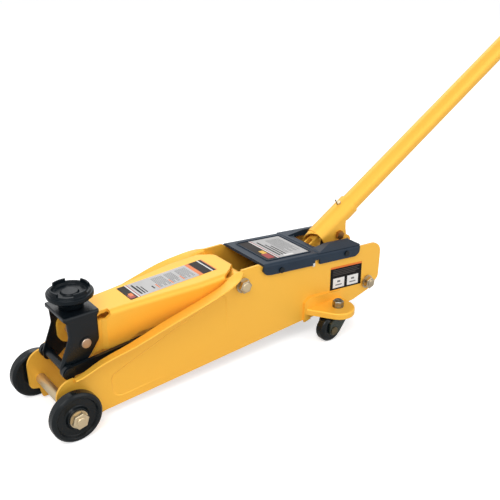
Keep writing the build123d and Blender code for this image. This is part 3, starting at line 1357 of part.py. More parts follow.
LUG_RIM_BOTTOM = 36.6
for name, side in (("left", -1), ("right", 1)):
    with BuildPart() as caster_bracket:
        low, high = sorted((side * PLATE_OUT, side * (PLATE_OUT + CASTER_SHEET)))
        slab(CASTER_FLANGE, low, high)
        lug = lug_plan(LUG_RIM_BOTTOM, side)
        extrude(to_extrude=lug, amount=CASTER_LUG_TOP - LUG_RIM_BOTTOM)
        inner = lug_plan(LUG_RIM_BOTTOM - 1, side, CASTER_SHEET)
        extrude(
            to_extrude=inner,
            amount=CASTER_LUG_TOP - CASTER_SHEET - LUG_RIM_BOTTOM + 1,
            mode=Mode.SUBTRACT,
        )
        with Locations((behind(KINGPIN_AT), side * KINGPIN_Y, CASTER_LUG_TOP)):
            Cylinder(KINGPIN_R + PRESS_GAP, 12, mode=Mode.SUBTRACT)
        top_rim = caster_bracket.edges().filter_by(
            lambda e: abs(e.center().Z - CASTER_LUG_TOP) < 0.01
            and abs(e.center().Y) > PLATE_OUT + CASTER_SHEET + 1
            and e.length > 35
        )
        fillet(top_rim, 2.0)
    caster_bracket.part.label = f"caster_bracket_{name}"
    export_step(caster_bracket.part, f"parts/caster_bracket_{name}.step")

    pin_at = (behind(KINGPIN_AT), side * KINGPIN_Y)
    with BuildPart() as kingpin:
        with Locations((*pin_at, FORK_TOP - 6.0)):
            Cylinder(7.0, 3.0 - SIDE_PLAY, align=(Align.CENTER, Align.CENTER, Align.MIN))
            Cylinder(KINGPIN_R, KINGPIN_L, align=(Align.CENTER, Align.CENTER, Align.MIN))
        with Locations((*pin_at, FORK_TOP + SIDE_PLAY)):
            Cylinder(9.5, CASTER_LUG_TOP - CASTER_SHEET - FORK_TOP - SIDE_PLAY,
                     align=(Align.CENTER, Align.CENTER, Align.MIN))
    kingpin.part.label = f"kingpin_{name}"
    export_step(kingpin.part, f"parts/kingpin_{name}.step")

    with BuildPart() as kingpin_nut:
        with Locations((*pin_at, CASTER_LUG_TOP)):
            Cylinder(KINGPIN_WASHER_R, KINGPIN_WASHER_T, align=(Align.CENTER, Align.CENTER, Align.MIN))
        with BuildSketch(Plane.XY.offset(CASTER_LUG_TOP + KINGPIN_WASHER_T)):
            with Locations(pin_at):
                RegularPolygon(KINGPIN_NUT_AF / 2, 6, major_radius=False, rotation=15)
        extrude(amount=7.2)
        chamfer(kingpin_nut.edges().group_by(Axis.Z)[-1], 0.7)
        with Locations((*pin_at, CASTER_LUG_TOP)):
            Cylinder(KINGPIN_R + PRESS_GAP, 40, mode=Mode.SUBTRACT)
    kingpin_nut.part.label = f"kingpin_nut_{name}"
    export_step(kingpin_nut.part, f"parts/kingpin_nut_{name}.step")

    axle_at = (KINGPIN_AT - CASTER_TRAIL, CASTER_WHEEL_R)
    cheek_in = CASTER_WHEEL_W / 2 + 1.0
    cheek_out = cheek_in + CASTER_CHEEK_T
    centre_y = side * KINGPIN_Y
    with BuildPart() as caster_fork:
        with Locations((*pin_at, FORK_TOP)):
            Cylinder(14.0, CASTER_SHEET, align=(Align.CENTER, Align.CENTER, Align.MAX))
        cheek = [
            (KINGPIN_AT + 9.0, FORK_TOP, 2.0),
            (KINGPIN_AT + 8.0, 33.0, 4.0),
            (axle_at[0] + 7.5, axle_at[1] - 7.0, 7.0),
            (axle_at[0] - 7.5, axle_at[1] - 7.0, 7.0),
            (axle_at[0] - 6.5, 30.0, 5.0),
            (KINGPIN_AT - 13.5, 36.0, 2.0),
            (KINGPIN_AT - 12.5, FORK_TOP, 1.0),
        ]
        for cheek_side in (-1, 1):
            ends = sorted((centre_y + cheek_side * cheek_in, centre_y + cheek_side * cheek_out))
            slab(cheek, *ends)
            bar_along_y(axle_at, [(ends[0] - 1, ends[1] + 1, CASTER_AXLE_R + PRESS_GAP)], mode=Mode.SUBTRACT)
        with Locations((*pin_at, FORK_TOP)):
            Cylinder(KINGPIN_R + RUNNING_FIT, 12, mode=Mode.SUBTRACT)
    caster_fork.part.label = f"caster_fork_{name}"
    export_step(caster_fork.part, f"parts/caster_fork_{name}.step")

    with BuildPart() as caster_axle:
        bar_along_y(axle_at, [(centre_y - cheek_out - 1.2, centre_y + cheek_out + 1.2, CASTER_AXLE_R)])
        for end in (centre_y - cheek_out - 1.2, centre_y + cheek_out):
            bar_along_y(axle_at, [(end, end + 1.2, CASTER_AXLE_R + 1.5)])
    caster_axle.part.label = f"caster_axle_{name}"
    export_step(caster_axle.part, f"parts/caster_axle_{name}.step")

    with BuildPart() as caster_wheel:
        half = CASTER_WHEEL_W / 2
        wheel_centre = (behind(axle_at[0]), centre_y, axle_at[1])
        profile = [
            (CASTER_AXLE_R + RUNNING_FIT, -half, 0.0),
            (CASTER_WHEEL_R - 4.0, -half, 1.0),
            (CASTER_WHEEL_R, -half + 3.0, 3.0),
            (CASTER_WHEEL_R, half - 3.0, 3.0),
            (CASTER_WHEEL_R - 4.0, half, 1.0),
            (CASTER_AXLE_R + RUNNING_FIT, half, 0.0),
        ]
        wheel_plane = Plane(origin=wheel_centre, x_dir=(1, 0, 0), z_dir=(0, 0, 1))
        revolve(rounded_face(wheel_plane, profile), axis=Axis(wheel_centre, (0, 1, 0)))
    caster_wheel.part.label = f"caster_wheel_{name}"
    export_step(caster_wheel.part, f"parts/caster_wheel_{name}.step")
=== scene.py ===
import json
import logging
import math
from dataclasses import dataclass, field
from enum import Enum
from typing import Callable, Iterable, Sequence

import bpy
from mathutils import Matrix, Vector


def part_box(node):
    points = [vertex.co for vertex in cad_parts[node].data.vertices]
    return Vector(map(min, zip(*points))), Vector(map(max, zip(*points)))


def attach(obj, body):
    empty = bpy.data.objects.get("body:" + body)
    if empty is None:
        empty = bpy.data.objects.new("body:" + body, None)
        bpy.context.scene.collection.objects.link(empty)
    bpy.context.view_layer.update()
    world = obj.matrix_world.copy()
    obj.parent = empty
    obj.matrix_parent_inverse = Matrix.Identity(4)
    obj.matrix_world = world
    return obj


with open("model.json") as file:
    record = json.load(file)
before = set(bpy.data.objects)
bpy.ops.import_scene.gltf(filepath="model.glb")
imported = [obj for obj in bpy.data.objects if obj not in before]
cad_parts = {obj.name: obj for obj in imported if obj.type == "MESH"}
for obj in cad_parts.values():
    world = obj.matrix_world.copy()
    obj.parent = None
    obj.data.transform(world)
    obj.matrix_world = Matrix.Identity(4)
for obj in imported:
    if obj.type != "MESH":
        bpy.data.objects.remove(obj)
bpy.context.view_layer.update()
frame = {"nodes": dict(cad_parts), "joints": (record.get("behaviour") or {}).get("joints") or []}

MM = 0.001
CREASE_ANGLE = 40.0
ROUND_ANGLE = 60.0
NODES = frame["nodes"]
JOINTS = {joint["name"]: joint for joint in frame["joints"]}
log = logging.getLogger("trolley_jack")

Colour = tuple[float, float, float]

# places of a Mix node's colour sockets
MIX_FACTOR = 0
MIX_FIRST_COLOUR = 6
MIX_SECOND_COLOUR = 7
MIX_COLOUR_OUT = 2


# ------------------------------------------------------------------ small helpers
def node_centre(node: str) -> Vector:
    """Centre of a CAD node's box at rest, in metres."""
    low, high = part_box(node)
    return (low + high) / 2


AXLE_X = node_centre("front_axle").x


def behind(distance: float) -> float:
    """X in metres of a place given in millimetres behind the front axle."""
    return AXLE_X + distance * MM


@dataclass(frozen=True)
class HandleAxis:
    """The handle's axis at rest: its foot above the pivot, and the directions along it and above it."""

    foot: Vector
    along: Vector
    above: Vector

    @classmethod
    def of_frame(cls) -> "HandleAxis":
        """Reads the axis from the joint that the handle twists about."""
        twist = JOINTS["handle_twist"]
        along = Vector(twist["axis"]).normalized()
        return cls(Vector(twist["pos_m"]), along, Vector((-along.z, 0, along.x)))

    def at(self, along: float, above: float, y: float = 0.0) -> Vector:
        """Place in metres of a point given in millimetres along the axis, above it and across it."""
        return self.foot + (self.along * along + self.above * above + Vector((0, y, 0))) * MM

    def turn(self, direction: Vector) -> Sequence[float]:
        """Rotation that lays an object's Z along a direction."""
        return direction.to_track_quat("Z", "Y").to_euler()


HANDLE_AXIS = HandleAxis.of_frame()


def surface_point(node: str, start: Vector, direction: Vector) -> Vector:
    """Finds where a ray meets a CAD node.

    Args:
        node: Name of the CAD node.
        start: Where the ray starts, in the row frame, in metres.
        direction: Which way it goes.

    Returns:
        The first point met, or the start if nothing is met.
    """
    hit, place, _, _ = NODES[node].ray_cast(start, direction.normalized())
    return place if hit else start


def leave_edit_mode() -> None:
    """Goes back to object mode and selects nothing."""
    if bpy.context.object is not None and bpy.context.object.mode != "OBJECT":
        bpy.ops.object.mode_set(mode="OBJECT")
    bpy.ops.object.select_all(action="DESELECT")


def pick(obj: bpy.types.Object) -> None:
    """Makes one object the only selected and active one."""
    leave_edit_mode()
    obj.select_set(True)
    bpy.context.view_layer.objects.active = obj


def choose_faces(obj: bpy.types.Object, wanted: Callable[[Vector, Vector], bool]) -> int:
    """Selects an object's faces by place and normal, and stays in edit mode.

    Args:
        obj: The object whose faces are chosen.
        wanted: Takes a face's centre and normal, and says whether it is chosen.

    Returns:
        How many faces are selected.
    """
    pick(obj)
    bpy.ops.object.mode_set(mode="EDIT")
    bpy.ops.mesh.select_mode(type="FACE")
    bpy.ops.mesh.select_all(action="DESELECT")
    bpy.ops.object.mode_set(mode="OBJECT")
    chosen = 0
    for face in obj.data.polygons:
        face.select = wanted(face.center, face.normal)
        chosen += int(face.select)
    bpy.ops.object.mode_set(mode="EDIT")
    return chosen


def apply_modifier(obj: bpy.types.Object, kind: str, **settings: object) -> None:
    """Adds a modifier with these settings and applies it.

    Args:
        obj: The object it goes on.
        kind: Blender's name of the modifier.
        **settings: Values set on it before it is applied.
    """
    pick(obj)
    modifier = obj.modifiers.new(kind.lower(), kind)
    for name, value in settings.items():
        setattr(modifier, name, value)
    bpy.ops.object.modifier_apply(modifier=modifier.name)


def settle(obj: bpy.types.Object) -> None:
    """Puts a piece's place into its mesh and makes its faces point outwards."""
    pick(obj)
    bpy.ops.object.transform_apply(location=True, rotation=True, scale=True)
    bpy.ops.object.mode_set(mode="EDIT")
    bpy.ops.mesh.select_all(action="SELECT")
    bpy.ops.mesh.normals_make_consistent(inside=False)
    leave_edit_mode()


def smooth(obj: bpy.types.Object, angle: float) -> None:
    """Shades an object smooth up to an angle in degrees."""
    pick(obj)
    bpy.ops.object.shade_smooth_by_angle(angle=math.radians(angle))
    leave_edit_mode()


def place_piece(
    obj: bpy.types.Object, name: str, body: str, material: bpy.types.Material
) -> bpy.types.Object:
    """Names a finished piece, dresses it and lets it ride on its body.

    Args:
        obj: The finished mesh object.
        name: The piece's name.
        body: The CAD body it moves with.
        material: What it is dressed in.

    Returns:
        The same object.
    """
    obj.name = name
    obj.data.name = name
    if not obj.data.materials:
        obj.data.materials.append(material)
    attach(obj, body)
    log.info("piece %s on %s, %d faces", name, body, len(obj.data.polygons))
    return obj


# ------------------------------------------------------------------ shared shader effects
def new_group(
    name: str, inputs: Sequence[tuple[str, str, object]], outputs: Sequence[tuple[str, str]]
) -> tuple[bpy.types.NodeTree, bpy.types.Node, bpy.types.Node]:
    """Starts a shader node group with named sockets.

    Args:
        name: Name of the group.
        inputs: Name, socket type and default of each input.
        outputs: Name and socket type of each output.

    Returns:
        The tree, its input node and its output node.
    """
    tree = bpy.data.node_groups.new(name, "ShaderNodeTree")
    for label, kind, default in inputs:
        socket = tree.interface.new_socket(name=label, in_out="INPUT", socket_type=kind)
        if default is not None:
            socket.default_value = default
    for label, kind in outputs:
        tree.interface.new_socket(name=label, in_out="OUTPUT", socket_type=kind)
    return tree, tree.nodes.new("NodeGroupInput"), tree.nodes.new("NodeGroupOutput")


def mottle_group() -> bpy.types.NodeTree:
    """Slow cloudy variation, from 0 to 1, of paint film or casting skin.

    Returns:
        The effect's tree.
    """
    tree, enter, leave = new_group(
        "cloudy_film",
        [("Vector", "NodeSocketVector", None), ("Scale", "NodeSocketFloat", 30.0)],
        [("Value", "NodeSocketFloat")],
    )
    noise = tree.nodes.new("ShaderNodeTexNoise")
    noise.inputs["Detail"].default_value = 4.0
    noise.inputs["Roughness"].default_value = 0.6
    ramp = tree.nodes.new("ShaderNodeMapRange")
    ramp.inputs["From Min"].default_value = 0.32
    ramp.inputs["From Max"].default_value = 0.68
    tree.links.new(enter.outputs["Vector"], noise.inputs["Vector"])
    tree.links.new(enter.outputs["Scale"], noise.inputs["Scale"])
    tree.links.new(noise.outputs["Fac"], ramp.inputs["Value"])
    tree.links.new(ramp.outputs["Result"], leave.inputs["Value"])
    return tree


def scuff_group() -> bpy.types.NodeTree:
    """Mask of fine scuffs and small chips, 0 where the surface is whole.

    Returns:
        The effect's tree.
    """
    tree, enter, leave = new_group(
        "fine_scuffs",
        [
            ("Vector", "NodeSocketVector", None),
            ("Scale", "NodeSocketFloat", 120.0),
            ("Amount", "NodeSocketFloat", 0.3),
        ],
        [("Mask", "NodeSocketFloat")],
    )
    stretch = tree.nodes.new("ShaderNodeMapping")
    stretch.inputs["Scale"].default_value = (1.0, 3.5, 6.0)
    stretch.inputs["Rotation"].default_value = (0.4, 0.3, 0.6)
    lines = tree.nodes.new("ShaderNodeTexNoise")
    lines.inputs["Detail"].default_value = 6.0
    lines.inputs["Roughness"].default_value = 0.75
    patches = tree.nodes.new("ShaderNodeTexNoise")
    patches.inputs["Scale"].default_value = 22.0
    limit = tree.nodes.new("ShaderNodeMapRange")
    limit.inputs["From Min"].default_value = 0.60
    limit.inputs["From Max"].default_value = 0.72
    area = tree.nodes.new("ShaderNodeMapRange")
    area.inputs["From Min"].default_value = 0.48
    area.inputs["From Max"].default_value = 0.66
    both = tree.nodes.new("ShaderNodeMath")
    both.operation = "MULTIPLY"
    strength = tree.nodes.new("ShaderNodeMath")
    strength.operation = "MULTIPLY"
    tree.links.new(enter.outputs["Vector"], stretch.inputs["Vector"])
    tree.links.new(stretch.outputs["Vector"], lines.inputs["Vector"])
    tree.links.new(enter.outputs["Scale"], lines.inputs["Scale"])
    tree.links.new(enter.outputs["Vector"], patches.inputs["Vector"])
    tree.links.new(lines.outputs["Fac"], limit.inputs["Value"])
    tree.links.new(patches.outputs["Fac"], area.inputs["Value"])
    tree.links.new(limit.outputs["Result"], both.inputs[0])
    tree.links.new(area.outputs["Result"], both.inputs[1])
    tree.links.new(both.outputs[0], strength.inputs[0])
    tree.links.new(enter.outputs["Amount"], strength.inputs[1])
    tree.links.new(strength.outputs[0], leave.inputs["Mask"])
    return tree


def grain_group() -> bpy.types.NodeTree:
    """Height of a fine surface grain, which can be drawn out along one direction.

    Returns:
        The effect's tree.
    """
    tree, enter, leave = new_group(
        "fine_grain",
        [
            ("Vector", "NodeSocketVector", None),
            ("Scale", "NodeSocketFloat", 400.0),
            ("Stretch", "NodeSocketVector", (1.0, 1.0, 1.0)),
        ],
        [("Height", "NodeSocketFloat")],
    )
    stretch = tree.nodes.new("ShaderNodeVectorMath")
    stretch.operation = "MULTIPLY"
    noise = tree.nodes.new("ShaderNodeTexNoise")
    noise.inputs["Detail"].default_value = 3.0
    tree.links.new(enter.outputs["Vector"], stretch.inputs[0])
    tree.links.new(enter.outputs["Stretch"], stretch.inputs[1])
    tree.links.new(stretch.outputs["Vector"], noise.inputs["Vector"])
    tree.links.new(enter.outputs["Scale"], noise.inputs["Scale"])
    tree.links.new(noise.outputs["Fac"], leave.inputs["Height"])
    return tree


class Effect(Enum):
    """The shader effects that the finishes share."""

    MOTTLE = "cloudy_film"
    SCUFF = "fine_scuffs"
    GRAIN = "fine_grain"

    def tree(self) -> bpy.types.NodeTree:
        """The effect's node group, built the first time it is asked for."""
        makers = {Effect.MOTTLE: mottle_group, Effect.SCUFF: scuff_group, Effect.GRAIN: grain_group}
        return bpy.data.node_groups.get(self.value) or makers[self]()


# ------------------------------------------------------------------ finishes
@dataclass(frozen=True)
class Finish:
    """A painted, plated, cast or moulded surface.

    The colour drifts between base and shade, scuffs show the tint under it, and a fine grain
    gives the film its texture.
    """

    name: str
    base: Colour
    shade: Colour
    tint: Colour = (0.5, 0.5, 0.5)
    metallic: float = 0.0
    roughness: float = 0.4
    roughness_drift: float = 0.1
    mottle_scale: float = 28.0
    scuff_scale: float = 160.0
    scuff_amount: float = 0.25
    grain_scale: float = 500.0
    grain_height: float = 0.08
    grain_stretch: tuple[float, float, float] = (1.0, 1.0, 1.0)
    coat: float = 0.0
    coat_roughness: float = 0.12
    specular: float = 0.5
    grain_depth: float = 0.6 * MM

    def material(self) -> bpy.types.Material:
        """The finish as a material, built once."""
        made = bpy.data.materials.get(self.name)
        return made or self._build()

    def _build(self) -> bpy.types.Material:
        """Builds the material's nodes.

        Returns:
            The new material.
        """
        made = bpy.data.materials.new(self.name)
        made.use_nodes = True
        made.diffuse_color = (*self.base, 1.0)
        tree = made.node_tree
        shader = tree.nodes["Principled BSDF"]
        place = tree.nodes.new("ShaderNodeTexCoord").outputs["Object"]
        mottle = self._effect(tree, Effect.MOTTLE, place, Scale=self.mottle_scale)
        scuff = self._effect(tree, Effect.SCUFF, place, Scale=self.scuff_scale, Amount=self.scuff_amount)
        grain = self._effect(tree, Effect.GRAIN, place, Scale=self.grain_scale, Stretch=self.grain_stretch)
        drift = self._mix(tree, mottle.outputs["Value"], self.base, self.shade)
        worn = self._mix(tree, scuff.outputs["Mask"], drift, self.tint)
        tree.links.new(worn, shader.inputs["Base Color"])
        rough = tree.nodes.new("ShaderNodeMapRange")
        rough.inputs["To Min"].default_value = self.roughness - self.roughness_drift / 2
        rough.inputs["To Max"].default_value = self.roughness + self.roughness_drift / 2
        tree.links.new(mottle.outputs["Value"], rough.inputs["Value"])
        tree.links.new(rough.outputs["Result"], shader.inputs["Roughness"])
        bump = tree.nodes.new("ShaderNodeBump")
        bump.inputs["Strength"].default_value = self.grain_height
        bump.inputs["Distance"].default_value = self.grain_depth
        tree.links.new(grain.outputs["Height"], bump.inputs["Height"])
        tree.links.new(bump.outputs["Normal"], shader.inputs["Normal"])
        shader.inputs["Metallic"].default_value = self.metallic
        shader.inputs["Coat Weight"].default_value = self.coat
        shader.inputs["Coat Roughness"].default_value = self.coat_roughness
        shader.inputs["Specular IOR Level"].default_value = self.specular
        return made

    @staticmethod
    def _effect(
        tree: bpy.types.NodeTree, effect: Effect, place: bpy.types.NodeSocket, **values: object
    ) -> bpy.types.Node:
        """Places a shared effect in a material with its own values.

        Args:
            tree: The material's tree.
            effect: Which effect.
            place: The coordinates it reads.
            **values: Values for its inputs.

        Returns:
            The group node.
        """
        node = tree.nodes.new("ShaderNodeGroup")
        node.node_tree = effect.tree()
        tree.links.new(place, node.inputs["Vector"])
        for name, value in values.items():
            node.inputs[name].default_value = value
        return node

    @staticmethod
    def _mix(
        tree: bpy.types.NodeTree, factor: bpy.types.NodeSocket, low: object, high: Colour
    ) -> bpy.types.NodeSocket:
        """Mixes two colours, of which the first may be a socket.

        Args:
            tree: The material's tree.
            factor: Share of the second colour.
            low: The first colour, or the socket that gives it.
            high: The second colour.

        Returns:
            The socket of the mixed colour.
        """
        mix = tree.nodes.new("ShaderNodeMix")
        mix.data_type = "RGBA"
        first, second = mix.inputs[MIX_FIRST_COLOUR], mix.inputs[MIX_SECOND_COLOUR]
        tree.links.new(factor, mix.inputs[MIX_FACTOR])
        if isinstance(low, tuple):
            first.default_value = (*low, 1.0)
        else:
            tree.links.new(low, first)
        second.default_value = (*high, 1.0)
        return mix.outputs[MIX_COLOUR_OUT]


YELLOW = Finish(
    "yellow_enamel", (0.83, 0.365, 0.032), (0.79, 0.335, 0.025), (0.93, 0.52, 0.12), roughness=0.34,
    roughness_drift=0.08, scuff_amount=0.14, grain_scale=260.0, grain_height=0.05, coat=0.35,
)
SLATE = Finish(
    "slate_enamel", (0.016, 0.030, 0.050), (0.012, 0.024, 0.042), (0.08, 0.10, 0.12),
    roughness=0.36, scuff_amount=0.15, grain_scale=300.0, grain_height=0.05, specular=0.20,
)
BLACK = Finish(
    "black_enamel", (0.0035, 0.0065, 0.0090), (0.0025, 0.0045, 0.0065), (0.05, 0.055, 0.06),
    roughness=0.30, scuff_amount=0.3, grain_scale=320.0, grain_height=0.10, specular=0.28,
)
BLACK_CAST = Finish(
    "black_casting", (0.0035, 0.0075, 0.0105), (0.0025, 0.005, 0.0075), (0.05, 0.06, 0.065),
    roughness=0.33, scuff_amount=0.30, grain_scale=420.0, grain_height=0.30, specular=0.15,
)
NYLON = Finish(
    "moulded_nylon", (0.004, 0.0065, 0.0075), (0.003, 0.005, 0.006), (0.04, 0.045, 0.05),
    roughness=0.26, scuff_amount=0.3, grain_scale=600.0, grain_height=0.08, specular=0.25,
)
RUBBER = Finish(
    "sleeve_rubber", (0.012, 0.012, 0.014), (0.008, 0.008, 0.009), (0.05, 0.05, 0.05),
    roughness=0.78, scuff_amount=0.3, grain_scale=700.0, grain_height=0.35, specular=0.3,
)
BRIGHT_ZINC = Finish(
    "bright_zinc", (0.62, 0.57, 0.47), (0.44, 0.40, 0.33), (0.75, 0.72, 0.66), metallic=1.0,
    roughness=0.26, mottle_scale=90.0, scuff_amount=0.4, grain_scale=800.0, grain_height=0.12,
)
DULL_ZINC = Finish(
    "dull_zinc", (0.30, 0.28, 0.23), (0.20, 0.19, 0.16), (0.55, 0.52, 0.46), metallic=1.0,
    roughness=0.32, mottle_scale=120.0, scuff_amount=0.5, grain_scale=800.0, grain_height=0.12,
)
YELLOW_ZINC = Finish(
    "yellow_zinc", (0.50, 0.32, 0.16), (0.34, 0.22, 0.12), (0.65, 0.49, 0.32), metallic=1.0,
    roughness=0.30, mottle_scale=110.0, scuff_amount=0.4, grain_scale=800.0, grain_height=0.12,
)
PALE_GOLD_ZINC = Finish(
    "pale_gold_zinc", (0.56, 0.46, 0.31), (0.36, 0.30, 0.21), (0.70, 0.62, 0.48), metallic=1.0,
    roughness=0.30, mottle_scale=100.0, scuff_amount=0.45, grain_scale=800.0, grain_height=0.12,
)
ROSE_ZINC = Finish(
    "rose_zinc", (0.52, 0.40, 0.31), (0.42, 0.32, 0.25), (0.66, 0.56, 0.47), metallic=1.0,
    roughness=0.42, mottle_scale=100.0, scuff_amount=0.35, grain_scale=800.0, grain_height=0.10,
)
# orange-brown metal standing in for the socket bolt's yellow paint in shade: painted shade
PAINTED_SHADE_AMBER = Finish(
    "amber_painted_shade", (0.40, 0.20, 0.07), (0.28, 0.14, 0.05), (0.60, 0.38, 0.18), metallic=1.0,
    roughness=0.34, mottle_scale=100.0, scuff_amount=0.35, grain_scale=800.0, grain_height=0.10,
)
BRONZE_ZINC = Finish(
    "bronze_zinc", (0.17, 0.135, 0.075), (0.10, 0.085, 0.055), (0.45, 0.38, 0.26), metallic=1.0,
    roughness=0.32, mottle_scale=120.0, scuff_amount=0.45, grain_scale=800.0, grain_height=0.12,
)
GROUND_STEEL = Finish(
    "ground_bar", (0.44, 0.42, 0.38), (0.36, 0.34, 0.31), (0.60, 0.58, 0.55), metallic=1.0,
    roughness=0.22, mottle_scale=30.0, scuff_amount=0.15, grain_scale=500.0, grain_height=0.10,
    grain_stretch=(4.0, 0.15, 4.0),
)
CHROME = Finish(
    "ram_chrome", (0.75, 0.75, 0.75), (0.68, 0.68, 0.68), (0.8, 0.8, 0.8), metallic=1.0,
    roughness=0.12, roughness_drift=0.05, scuff_amount=0.2, grain_scale=900.0, grain_height=0.03,
)
SPRING_WIRE = Finish(
    "oiled_wire", (0.22, 0.22, 0.23), (0.14, 0.14, 0.15), (0.35, 0.34, 0.33), metallic=1.0,
    roughness=0.35, scuff_amount=0.3, grain_scale=900.0, grain_height=0.1,
)
CASTING = Finish(
    "painted_casting", (0.07, 0.07, 0.075), (0.045, 0.045, 0.05), (0.16, 0.16, 0.16),
    roughness=0.55, scuff_amount=0.4, grain_scale=420.0, grain_height=0.5, specular=0.35,
)
CASTER_GREEN = Finish(
    "green_grey_passivate", (0.040, 0.050, 0.040), (0.022, 0.030, 0.026), (0.16, 0.16, 0.12),
    metallic=0.45, roughness=0.30, scuff_amount=0.5, grain_scale=500.0, grain_height=0.12,
)
LABEL_SILVER = Finish(
    "label_silver", (0.51, 0.50, 0.49), (0.46, 0.45, 0.44), (0.6, 0.6, 0.6), roughness=0.32,
    scuff_amount=0.15, grain_scale=900.0, grain_height=0.02, specular=0.35,
)
LABEL_BLACK = Finish(
    "label_black", (0.006, 0.005, 0.005), (0.009, 0.008, 0.008), (0.06, 0.06, 0.06), roughness=0.34,
    scuff_amount=0.12, grain_scale=900.0, grain_height=0.02, specular=0.08,
)
LABEL_UMBER = Finish(
    "label_umber", (0.020, 0.013, 0.010), (0.014, 0.010, 0.008), (0.08, 0.06, 0.05), roughness=0.34,
    scuff_amount=0.12, grain_scale=900.0, grain_height=0.02, specular=0.08,
)
LABEL_PALE_GREY = Finish(
    "label_pale_grey", (0.15, 0.15, 0.15), (0.13, 0.13, 0.13), (0.3, 0.3, 0.3), roughness=0.34,
    scuff_amount=0.12, grain_scale=900.0, grain_height=0.02, specular=0.3,
)
LABEL_GREY = Finish(
    "label_grey", (0.060, 0.055, 0.052), (0.050, 0.046, 0.044), (0.10, 0.10, 0.10), roughness=0.34,
    scuff_amount=0.12, grain_scale=900.0, grain_height=0.02, specular=0.2,
)
LABEL_RED = Finish(
    "label_red", (0.40, 0.018, 0.010), (0.34, 0.014, 0.008), (0.5, 0.12, 0.08), roughness=0.32,
    scuff_amount=0.1, grain_scale=900.0, grain_height=0.02, specular=0.3,
)
LABEL_ORANGE = Finish(
    "label_orange", (0.82, 0.19, 0.015), (0.76, 0.16, 0.012), (0.9, 0.4, 0.1), roughness=0.32,
    scuff_amount=0.1, grain_scale=900.0, grain_height=0.02, specular=0.3,
)
LABEL_YELLOW = Finish(
    "label_yellow", (0.85, 0.50, 0.03), (0.80, 0.44, 0.025), (0.9, 0.6, 0.2), roughness=0.32,
    scuff_amount=0.1, grain_scale=900.0, grain_height=0.02, specular=0.3,
)
LABEL_WHITE = Finish(
    "label_white", (0.80, 0.79, 0.77), (0.74, 0.73, 0.71), (0.6, 0.6, 0.6), roughness=0.34,
    scuff_amount=0.1, grain_scale=900.0, grain_height=0.02, specular=0.35,
)


def dress(nodes: Iterable[str], finish: Finish) -> None:
    """Gives CAD nodes a finish.

    Args:
        nodes: Names of the CAD nodes.
        finish: The finish they get.
    """
    for node in nodes:
        mesh = NODES[node].data
        mesh.materials.clear()
        mesh.materials.append(finish.material())


# ------------------------------------------------------------------ labels
@dataclass(frozen=True)
class Patch:
    """A patch of colour on a label, in shares of the label's length and width."""

    start: float
    end: float
    low: float
    high: float
    finish: Finish


# ruled lines: their thickness as a share of the pitch, and where the short ones start
LINE_SHARE = 0.45
SHORT_LINE_EVERY = 3
SHORT_LINE_INSET = 0.25


def ruled_lines(
    start: float, end: float, pitch: float, low: float, high: float, finish: Finish
) -> tuple[Patch, ...]:
    """Thin lines across a label, every third of them shorter.

    Args:
        start: Where the first line is, as a share of the length.
        end: Where the lines stop.
        pitch: From one line to the next.
        low: Share of the width where the lines start.
        high: Share of the width where they end.
        finish: Their colour.

    Returns:
        One patch for each line.
    """
    count = int((end - start) / pitch)
    foot = [low] * (SHORT_LINE_EVERY - 1) + [low + (high - low) * SHORT_LINE_INSET]
    places = [start + pitch * step for step in range(count)]
    return tuple(
        Patch(place, place + pitch * LINE_SHARE, foot[step % SHORT_LINE_EVERY], high, finish)
        for step, place in enumerate(places)
    )


class Facing(Enum):
    """Which way a label faces, and the axes its length and width run along."""

    UP = "up"
    LEFT = "left"


